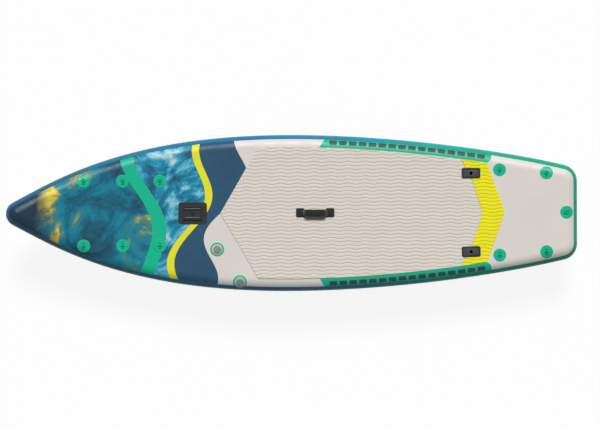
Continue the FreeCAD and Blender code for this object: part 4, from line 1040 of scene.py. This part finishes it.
def tab_part():
    """Folded webbing tab as an extruded outline with the bar's tunnel."""
    outline = [(TAB_END, TAB_BASE + TAB_WALL * 1.9), (-0.0150, TAB_BASE + TAB_WALL * 2.0)]
    outline += [(-0.0085, TAB_BASE + TAB_WALL * 2.2)] + arc(0, 0, TAB_OUTER, 138, -98, np.linspace(0, 1, 13))
    outline += [(-0.0012, TAB_BASE + LIFT), (-0.0090, TAB_BASE), (TAB_END, TAB_BASE)]
    tunnel = [(TAB_BORE * c, TAB_BORE * s) for c, s in circle(16)]
    curve = bpy.data.curves.new("tab", "CURVE")
    curve.dimensions = "2D"
    curve.fill_mode = "BOTH"
    for loop in (outline, tunnel):
        line = curve.splines.new("POLY")
        line.points.add(len(loop) - 1)
        for point, (y, z) in zip(line.points, loop):
            point.co = (y, z, 0, 1)
        line.use_cyclic_u = True
    curve.extrude = TAB_HALF - TAB_BEVEL
    curve.bevel_depth = TAB_BEVEL
    obj = new_object("tab", curve)
    graph = bpy.context.evaluated_depsgraph_get()
    mesh = bpy.data.meshes.new_from_object(obj.evaluated_get(graph))
    turn = Matrix(((0, 0, 1, 0), (1, 0, 0, 0), (0, 1, 0, 0), (0, 0, 0, 1)))
    part = [turn @ v.co for v in mesh.vertices], [tuple(p.vertices) for p in mesh.polygons]
    bpy.data.objects.remove(obj)
    bpy.data.curves.remove(curve)
    bpy.data.meshes.remove(mesh)
    return part


TAB = tab_part()
RING = ring_part()
discs, tabs, threads = [], [], []
for joint in JOINTS.values():
    if not joint["name"].startswith("ring_"):
        continue
    name = joint["child"]
    pivot = Vector(joint["pos_m"])
    out = Vector(skin(pivot.x, 0.0)[1][0])
    place = axes_at(pivot, joint["axis"], out)
    seat = pivot - out * PIVOT
    discs.append(patch_disc(seat.x, seat.y))
    tabs.append(moved(TAB, place))
    for ends in STITCH_ROWS:
        a, b = [(x * STITCH_HALF, y, STITCH_Z) for x, y in ends]
        threads.append(moved(stitch(a, b, *TAB_STITCH), place))
    build("d_" + name, moved(RING, place), ring_paint, name, body=name)
build("ring_discs", join(discs), green_cloth, "ring_patches")
build("ring_webs", join(tabs), green_web, "ring_tabs")
build("ring_stitches", join(threads), stitch_green)

# Inflation valves: welded patch, body, tether ring, poppet and cap. Profiles are radius and height in
# millimetres, boxes the ends along X, Y and Z, blocks length, width, low, high, corner and edge in metres

FLANGE = 0.032
SEAT = 0.043
SEAT_RADII = (HOLE * MM, 0.0260, FLANGE, 0.0340, 0.0360, 0.0380, 0.0400, 0.0418, 0.0426, SEAT)
BODY_PROFILE = [
    (15.0, 6.0), (15.4, 6.4), (22.8, 6.4), (23.2, 6.0), (23.2, 4.5), (23.5, 4.2), (30.8, 4.2), (31.7, 3.9),
    (32.0, 3.2), (32.0, 1.5), (31.7, 1.25), (19.5, 1.25), (19.5, -32.0), (16.5, -32.0), (16.5, -7.0),
    (11.3, -7.0), (11.0, -6.7), (11.0, -4.3), (11.3, -4.0), (15.0, -4.0)]
HUB_PROFILE = [(2.6, -32.0), (4.5, -32.0), (4.5, -28.4), (4.1, -28.0), (2.6, -28.0)]
ARM = (0.0042, 0.0167, -0.0015, 0.0015, -0.032, -0.028)
LUG = (0.0138, 0.0152, -0.0012, 0.0012, -0.004, 0.0024, 0.0003)
TETHER_PROFILE = [
    (23.3, 4.25), (26.0, 4.25), (26.3, 4.55), (26.3, 5.8), (26.0, 6.1), (23.6, 6.1), (23.3, 5.8)]
TETHER_LUG = (0.0258, 0.0293, -0.005, 0.005, 0.00425, 0.0061)
STEM_PROFILE = [
    (0.0, -4.5), (5.5, -4.5), (6.0, -4.9), (6.0, -5.8), (5.7, -6.1), (2.9, -6.1), (2.5, -6.5), (2.5, -8.0),
    (13.7, -8.0), (14.0, -8.3), (14.0, -9.9), (13.6, -10.45), (2.5, -10.45), (2.5, -34.6), (2.1, -35.0),
    (0.0, -35.0)]
SEAL_PROFILE = [
    (6.0, -7.96), (13.6, -7.96), (13.9, -7.7), (13.9, -7.3), (13.6, -7.04), (6.3, -7.04), (6.0, -7.3)]
SPRING_LOW = -0.02795
SPRING_TOP = -0.0105
SPRING_RADIUS = 0.0055
SPRING_WIRE = 0.0011
SPRING_TURNS = 4
SPRING_FLAT = 0.75
CAP_LOW = 6.7
CAP_PROFILE = [
    (0.0, 3.6), (17.0, 3.7), (18.8, 4.0), (20.7, 4.0), (21.7, 3.4), (22.0, 2.6), (22.0, 0.6), (21.5, 0.1),
    (14.2, 0.0), (14.2, -3.6), (13.9, -4.0), (12.2, -4.0), (12.0, -3.6), (12.0, 0.4), (0.0, 0.4)]
CAP_STEPS = 96
CAP_NOTCH = 0.4
CAP_BAR = (0.0062, 0.033, 0.003, 0.0069, 0.0028, 0.0008)
LEDGE_PROFILE = [(15.0, 3.4), (15.2, 4.4), (16.0, 4.4), (16.3, 3.4)]
STRAP_OUTLINE = (
    (0.019, -0.005), (0.026, -0.0042), (0.0293, -0.005), (0.0293, 0.005), (0.026, 0.0042), (0.019, 0.005))
STRAP_LOW = 0.0002
STRAP_WALL = 0.0011


def foot_of(place, x, y):
    """Point of the skin straight below a point of a valve's frame."""
    up = place.col[2].xyz
    point = place @ Vector((x, y, 0))
    for _ in range(5):
        on, out = skin(point.x, point.y)
        on, out = Vector(on[0]), Vector(out[0])
        point += up * ((on - point).dot(out) / up.dot(out))
    return point


def seat_part(place, steps=72):
    """Patch under a valve, level below its flange and falling to the skin round it."""
    up = place.col[2].xyz
    top, low = [], []
    for r in SEAT_RADII:
        s = max(0.0, (r - FLANGE) / (SEAT - FLANGE))
        fall = s * s * (3 - 2 * s)
        edge = PATCH * math.sqrt(1 - 0.9 * max(0.0, (s - 0.88) / 0.12) ** 2)
        ring = [(r * c, r * v) for c, v in circle(steps)]
        feet = [foot_of(place, x, y) for x, y in ring]
        top.append([
            (place @ Vector((x, y, PATCH))).lerp(foot + up * edge, fall) for (x, y), foot in zip(ring, feet)])
        low.insert(0, [foot + up * FILM for foot in feet])
    return stack(top + low, closed=True)


def body_part():
    """Flange, collar, mouth, lip and barrel, with the spider that guides the stem."""
    parts = [turned(BODY_PROFILE, 96), turned(HUB_PROFILE, 40)]
    for k in range(3):
        turn = Matrix.Rotation(2 * math.pi * k / 3, 4, "Z")
        parts += [moved(box_part(*ARM), turn), moved(box_part(*LUG), turn)]
    return join(parts)


def spring_part(steps=24, sides=10):
    """Round wire coil between the spider's hub and the disc, its end turns wound flat."""
    wire = SPRING_WIRE / 2
    room = SPRING_TOP - SPRING_LOW - 2 * wire - 2 * SPRING_WIRE * SPRING_FLAT
    loops = []
    for k in range(SPRING_TURNS * steps + 1):
        turn = k / steps
        rise = min(max((turn - SPRING_FLAT) / (SPRING_TURNS - 2 * SPRING_FLAT), 0.0), 1.0)
        lift = SPRING_WIRE * (min(turn, SPRING_FLAT) + max(turn - SPRING_TURNS + SPRING_FLAT, 0.0))
        z = SPRING_LOW + wire + lift + room * rise
        a = 2 * math.pi * turn
        loops.append([
            ((SPRING_RADIUS + wire * c) * math.cos(a), (SPRING_RADIUS + wire * c) * math.sin(a), z + wire * s)
            for c, s in circle(sides)])
    return stack(loops)


def cap_part():
    """Lid with a notched rim, a plug, a turning bar on a round ledge, and its strap."""
    loops = []
    for k, (c, s) in enumerate(circle(CAP_STEPS)):
        loop = []
        for j, (r, z) in enumerate(CAP_PROFILE):
            r = (r - (CAP_NOTCH if k % 4 < 2 and 4 <= j <= 6 else 0.0)) * MM
            loop.append((r * c, r * s, z * MM))
        loops.append(loop)
    bar = moved(rounded_block(*CAP_BAR), Matrix.Rotation(-math.pi / 4, 4, "Z"))
    strap = stack([[(x, y, STRAP_LOW + t) for x, y in STRAP_OUTLINE] for t in (0.0, STRAP_WALL)])
    cap = join([stack(loops, closed=True), bar, turned(LEDGE_PROFILE), strap])
    return moved(cap, Matrix.Translation((0, 0, CAP_LOW * MM)))


VALVE_PIECES = (
    ("stem", turned(STEM_PROFILE), stem_white, "stem_plastic", "_poppet", 40),
    ("seal", turned(SEAL_PROFILE), seal_black, "seal_rubber", "_poppet", 40),
    ("spring", spring_part(), steel, "spring_steel", None, 60),
    ("cap", cap_part(), cap_grey, "cap_plastic", "_cap", 40),
)
seats, bodies, tethers = [], [], []
for name, place in VALVES.items():
    seats.append(seat_part(place))
    bodies.append(moved(body_part(), place))
    tethers.append(moved(join([turned(TETHER_PROFILE, 96), box_part(*TETHER_LUG)]), place))
    for kind, part, paint, finish, rider, crease in VALVE_PIECES:
        piece = build(
            name + "_" + kind, moved(part, place), paint, name + "_valve_" + kind,
            body=name + rider if rider else "hull", crease=crease)
        if kind == "spring":
            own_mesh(piece)
build("valve_seats", join(seats), green_cloth, "valve_patches", crease=50)
build("valve_shells", join(bodies), valve_white, "valve_bodies", crease=40)
build("valve_tethers", join(tethers), cap_grey, "valve_cap_rings", crease=40)

# Carry handle: woven strap, its sewn feet and the padded sleeve, with its width and height as least and gain

STRAP_FLOOR = THICK + PATCH + LIFT
STRAP_HALF = (
    (0.110, 0.0), (0.092, 0.0), (0.078, 0.0002), (0.071, 0.006), (0.0655, 0.024), (0.058, 0.0318),
    (0.030, 0.0335))
STRAP_SIZE = (0.038, 0.0026)
STRAP_TOP = 0.0335
FOOT_FORE = 0.0155
FOOT_AFT = 0.0125
FOOT_SIDE = 0.0155
FOOT_STITCH = (0.0034, 0.0026, 0.0004)
FOOT_THREAD_Z = STRAP_FLOOR + 0.0027
FOOT_LAYERS = (
    (0.052, 0.056, 0.010, 0.0), (0.052, 0.056, 0.010, PATCH * 0.6), (0.0508, 0.0548, 0.0095, PATCH))
SLEEVE_HALF = 0.062
SLEEVE_ROWS = 41
SLEEVE_SIDES = 40
SLEEVE_WIDTH = (0.0165, 0.0042)
SLEEVE_HEIGHT = (0.0042, 0.0052)
SLEEVE_SEAM = (0.0016, 0.0022)
SLEEVE_WRINKLE = 0.00035
SLEEVE_SAG = 0.001
SLEEVE_STITCH_X = 0.0575
SLEEVE_STITCH_Y = 0.016
SLEEVE_STITCH_Z = STRAP_FLOOR + 0.0425
SLEEVE_STITCH = (0.003, 0.0023, 0.00035)


def smooth_line(points, rounds=3):
    """Chaikin rounding of an open line."""
    p = np.array(points, float)
    for _ in range(rounds):
        mid = np.empty((2 * len(p) - 2, p.shape[1]))
        mid[0::2] = p[:-1] * 0.75 + p[1:] * 0.25
        mid[1::2] = p[:-1] * 0.25 + p[1:] * 0.75
        p = np.vstack([p[:1], mid, p[-1:]])
    return p


def sleeve_part():
    """Padded tube round the strap, drawn in at its sewn ends and along its lower seam."""
    loops = []
    for s in np.linspace(-1, 1, SLEEVE_ROWS):
        end = 1 - abs(s) ** 10
        half_w = SLEEVE_WIDTH[0] + SLEEVE_WIDTH[1] * end
        half_h = SLEEVE_HEIGHT[0] + SLEEVE_HEIGHT[1] * end ** 0.7
        middle = STRAP_FLOOR + STRAP_TOP + STRAP_SIZE[1] / 2 - SLEEVE_SAG * s * s
        loop = []
        for j, (c, v) in enumerate(circle(SLEEVE_SIDES)):
            a = 2 * math.pi * j / SLEEVE_SIDES
            y = half_w * math.copysign(abs(c) ** 0.72, c)
            z = half_h * math.copysign(abs(v) ** 0.85, v)
            pinch = SLEEVE_SEAM[0] * math.exp(-((y / SLEEVE_SEAM[1]) ** 2)) if v < 0 else 0.0
            ripple = math.sin(34 * s + 3 * math.sin(5 * a)) * end * (1 if v < 0 else 0.4)
            loop.append((HANDLE_X + SLEEVE_HALF * s, y, middle + z + pinch + SLEEVE_WRINKLE * ripple))
        loops.append(loop)
    return stack(loops)


half = [(x, STRAP_FLOOR + z) for x, z in STRAP_HALF]
line = smooth_line([(-x, z) for x, z in half] + half[::-1])
across = axes_at((HANDLE_X, 0, 0), (0, -1, 0), (0, 0, 1))
web = moved(ribbon(line, *STRAP_SIZE), across)
build("handle_web", web, black_web, "handle_strap", crease=60)
threads, feet = [], []
for x in SEATS:
    a, b, h = x - FOOT_FORE, x + FOOT_AFT, FOOT_SIDE
    for x0, y0, x1, y1 in (
        (a, -h, b, -h), (a, h, b, h), (a, -h, a, h), (b, -h, b, h), (a, -h, b, h), (a, h, b, -h),
    ):
        threads.append(stitch((x0, y0, FOOT_THREAD_Z), (x1, y1, FOOT_THREAD_Z), *FOOT_STITCH))
    foot = stack([rounded(*row) for row in FOOT_LAYERS])
    feet.append(moved(foot, Matrix.Translation((x, 0, THICK + FILM))))
build("handle_stitches", join(threads), stitch_dark)
build("handle_feet", join(feet), dark_cloth, "handle_patches")
sleeve = build("handle_sleeve", sleeve_part(), neoprene, "handle_grip", crease=60)
threads = []
for x in (HANDLE_X - SLEEVE_STITCH_X, HANDLE_X + SLEEVE_STITCH_X):
    ends = [(x, y, SLEEVE_STITCH_Z) for y in (-SLEEVE_STITCH_Y, SLEEVE_STITCH_Y)]
    threads.append(stitch(*ends, *SLEEVE_STITCH))
build("sleeve_stitches", join(threads), stitch_dark)

# Accessory mounts: rows of length, width, corner and height, then of radius and height

FRONT_ROWS = (
    (0.1752, 0.1332, 0.0176, 0.0), (0.176, 0.134, 0.018, 0.0004), (0.176, 0.134, 0.018, 0.0017),
    (0.1746, 0.1326, 0.0174, 0.0025), (0.1226, 0.0846, 0.0095, 0.0025), (0.1204, 0.0824, 0.0086, 0.0032),
    (0.120, 0.082, 0.008, 0.0125), (0.1186, 0.0806, 0.0075, 0.0135), (0.1094, 0.0714, 0.0052, 0.0135),
    (0.1082, 0.0702, 0.005, 0.0128), (0.108, 0.070, 0.005, 0.0058), (0.1072, 0.0692, 0.005, 0.0055))
FRONT_BOSS = (
    (0.0095, 0.0055), (0.009, 0.0060), (0.009, 0.0120), (0.0086, 0.0125), (0.0055, 0.0125), (0.0051, 0.0121),
    (0.0051, 0.0025))
FRONT_BAR = (0.100, 0.007, 0.0055, 0.014, 0.0032, 0.0009)
BAR_REACH = 0.0276
REAR_ROWS = (
    (0.1134, 0.0624, 0.0117, 0.0002), (0.114, 0.063, 0.012, 0.0008), (0.114, 0.063, 0.012, 0.0066),
    (0.1128, 0.0618, 0.0115, 0.0077), (0.1114, 0.0604, 0.011, 0.0080), (0.0974, 0.0464, 0.005, 0.0080),
    (0.0962, 0.0452, 0.004, 0.0076), (0.096, 0.045, 0.004, 0.0052), (0.0952, 0.0442, 0.004, 0.0050))
REAR_BORE = ((0.0056, 0.0050), (0.0051, 0.0046), (0.0051, 0.0010))
INLAY_ROWS = (
    (0.0948, 0.0438, 0.004, 0.0051), (0.0948, 0.0438, 0.004, 0.0056), (0.0940, 0.0430, 0.004, 0.0058),
    (0.020, 0.020, 0.010, 0.0058), (0.020, 0.020, 0.010, 0.0051))


def plate_part(rows, rounds=()):
    """Plate from loops of rounded rectangles, then of circles."""
    return stack([rounded(*row) for row in rows] + [rounded(2 * r, 2 * r, r, z) for r, z in rounds])


FRONT = Matrix.Translation((middle_of("front_mount_base").x, 0, THICK))
plate = moved(plate_part(FRONT_ROWS, FRONT_BOSS), FRONT)
build("front_plate", plate, mount_plastic, "front_mount_base", crease=30)
bar = moved(rounded_block(*FRONT_BAR), FRONT)
bars = [moved(bar, Matrix.Translation((0, side * BAR_REACH, 0))) for side, _ in SIDES]
build("front_bars", join(bars), bar_metal, "front_mount_rails", crease=40)
for name, x, y, turn in REAR_MOUNTS:
    place = Matrix.Translation((x, y, THICK)) @ Matrix.Rotation(math.radians(turn), 4, "Z")
    plate = moved(plate_part(REAR_ROWS, REAR_BORE), place)
    build("rear_plate_" + name, plate, mount_plastic, "rear_mount_" + name, crease=30)
    inlay = moved(plate_part(INLAY_ROWS), place)
    build("rear_inlay_" + name, inlay, inlay_plastic, crease=30)

# Fins: half thickness by share of the chord, sweep and taper by share of the depth. Blades are chord, tip
# chord, depth, rake and thickness

FOIL_SHARES = [
    (0.0, 0.0), (0.008, 0.24), (0.03, 0.45), (0.07, 0.66), (0.12, 0.82), (0.21, 0.96), (0.32, 1.0),
    (0.46, 0.93), (0.60, 0.80), (0.72, 0.62), (0.84, 0.42), (0.93, 0.24), (1.0, 0.10)]
BLADE_SHARES = np.array([
    (0.0, 0.0, 0.0), (0.25, 0.13, 0.20), (0.50, 0.36, 0.42), (0.75, 0.66, 0.66), (0.93, 0.92, 0.86),
    (1.0, 1.05, 1.0)])
BLADE_ROWS = 29
FIN_X = middle_of("fin_box").x
BOX_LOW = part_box("fin_box")[0].z
FOOT_TOP = BOX_LOW - 0.0004
FOOT_LOW = FOOT_TOP - 0.006
FOOT_WIDE = 0.015
FOOT_SLIT = 0.0071
HEAD_HALF = 0.0095
NECK_HALF = 0.0045
FOOT_EDGE = 0.0012
FORK_EDGE = 0.0010
FIN_HALF = 0.080
START = FIN_X - FIN_HALF
FINISH = FIN_X + FIN_HALF
HEAD_START = START + 0.0084
HEAD_LOW = BOX_LOW + 0.008
HEAD_TOP = BOX_LOW + 0.014
FIN_LAP = 0.001
NOTCH_END = JOINTS["fin_lever_hinge"]["pos_m"][0] + 0.0045
BLADE_START = NOTCH_END + 0.003
FIN_BLADE = (0.126, 0.046, 0.215, 0.118, 0.009)
SIDE_BLADE = (0.104, 0.038, 0.112, 0.062, 0.006)
SIDE_PLATE = (0.150, 0.044, -0.003, 0.0, 0.021, 0.0012)


def blade(chord, tip, depth, rake, wall, x, y, top):
    """Swept foil blade, rounded off at the tip."""
    loops = []
    for s in np.linspace(0, 1, BLADE_ROWS):
        down = 1 - (1 - s) ** 1.25
        back, taper = (np.interp(down, BLADE_SHARES[:, 0], BLADE_SHARES[:, k]) for k in (1, 2))
        span = chord + (tip - chord) * taper
        thin = math.sqrt(max(0.0, 1 - max(0.0, (down - 0.97) / 0.0305) ** 2))
        loop = []
        for along, half, side in (
            [(a, h, 1) for a, h in FOIL_SHARES] + [(a, h, -1) for a, h in reversed(FOIL_SHARES[1:])]
        ):
            out = side * wall / 2 * half * span / chord * thin
            loop.append((x + rake * back + span * along, y + out, top - depth * down))
        loops.append(loop)
    return stack(loops)


fin = join([
    box_part(NOTCH_END, FINISH, -FOOT_WIDE, FOOT_WIDE, FOOT_LOW, FOOT_TOP, FOOT_EDGE),
    box_part(START, BLADE_START, FOOT_SLIT, FOOT_WIDE, FOOT_LOW, FOOT_TOP, FORK_EDGE),
    box_part(START, BLADE_START, -FOOT_WIDE, -FOOT_SLIT, FOOT_LOW, FOOT_TOP, FORK_EDGE),
    box_part(HEAD_START, FINISH, -HEAD_HALF, HEAD_HALF, HEAD_LOW, HEAD_TOP),
    box_part(NOTCH_END, FINISH, -NECK_HALF, NECK_HALF, FOOT_TOP - FIN_LAP, HEAD_LOW + FIN_LAP),
    blade(*FIN_BLADE, BLADE_START, 0.0, FOOT_LOW + FIN_LAP),
])
build("fin_blade", fin, fin_black, "centre_fin", body="fin", crease=40)
for _, name in SIDES:
    x, y = middle_of("side_fin_" + name)[:2]
    plate = moved(rounded_block(*SIDE_PLATE), Matrix.Translation((x, y, 0)))
    part = join([plate, blade(*SIDE_BLADE, x - SIDE_BLADE[0] / 2, y, SIDE_PLATE[2] + FIN_LAP)])
    build("side_blade_" + name, part, fin_rubber, "side_fin_" + name, crease=40)

# Floor, light and camera

FLOOR_Z = cad_low[2] - 0.0007
FLOOR_HALF = 14
FLOOR_GREY = 0.18
FLOOR_WHITE = 0.96
FLOOR_GLOW = 0.90
SKY_LIGHT = 0.11
SUN_LIGHT = 3.3
SUN_SPREAD = math.radians(18)
SUN_FROM = (0.05, 0.70, 0.90)
IMAGE_WIDTH = 600
SENSOR = 36.0
LENS = 120.0
SCALE = 0.006166
CAMERA_PLACE = (0.043, -0.0092, 0.10)
CAMERA_ROLL = math.radians(-0.18)


def bare_rays(tree):
    """Share of rays that see the white of the background: from the camera, in gloss and through glass."""
    path = add_node(tree, "LightPath")
    total = path.outputs["Is Camera Ray"]
    for name in ("Is Glossy Ray", "Is Transmission Ray"):
        add = add_node(tree, "Math", total, path.outputs[name])
        add.operation = "ADD"
        add.use_clamp = True
        total = add.outputs[0]
    return total


floor_mesh = bpy.data.meshes.new("floor")
corners = [(x * FLOOR_HALF, y * FLOOR_HALF, FLOOR_Z) for x, y in ((-1, -1), (1, -1), (1, 1), (-1, 1))]
floor_mesh.from_pydata(corners, [], [(0, 1, 2, 3)])
floor = new_object("floor", floor_mesh)
floor_material = bpy.data.materials.new("studio_floor")
floor_material.use_nodes = True
tree = floor_material.node_tree
tree.nodes.clear()
seen = bare_rays(tree)
grey = add_node(tree, "MapRange", seen, 0.0, 1.0, FLOOR_GREY, FLOOR_WHITE)
matte = add_node(tree, "BsdfDiffuse", grey.outputs[0])
white = add_node(tree, "Emission")
share = add_node(tree, "Math", seen, FLOOR_GLOW)
share.operation = "MULTIPLY"
blend = add_node(tree, "MixShader", share.outputs[0], matte.outputs[0], white.outputs[0])
add_node(tree, "OutputMaterial", blend.outputs[0])
floor_mesh.materials.append(floor_material)

world = bpy.data.worlds.new("studio")
bpy.context.scene.world = world
world.use_nodes = True
tree = world.node_tree
sky = tree.nodes["Background"]
strength = add_node(tree, "MapRange", bare_rays(tree), 0.0, 1.0, SKY_LIGHT, 1.0)
put(tree, sky.inputs["Strength"], strength.outputs[0])
put(tree, sky.inputs["Color"], (1, 1, 1, 1))

sun_data = bpy.data.lights.new("key", "SUN")
sun_data.energy = SUN_LIGHT
sun_data.angle = SUN_SPREAD
sun = new_object("key", sun_data)
sun.rotation_mode = "QUATERNION"
sun.rotation_quaternion = Vector(SUN_FROM).to_track_quat("Z", "Y")

camera_data = bpy.data.cameras.new("camera")
camera_data.lens = LENS
camera_data.sensor_width = SENSOR
camera_data.clip_end = 100.0
camera = new_object("camera", camera_data)
camera.location = Vector(CAMERA_PLACE) + Vector((0, 0, IMAGE_WIDTH * SCALE * LENS / SENSOR))
camera.rotation_euler = (0, 0, CAMERA_ROLL)
bpy.context.scene.camera = camera
bpy.context.scene.view_settings.view_transform = "Standard"
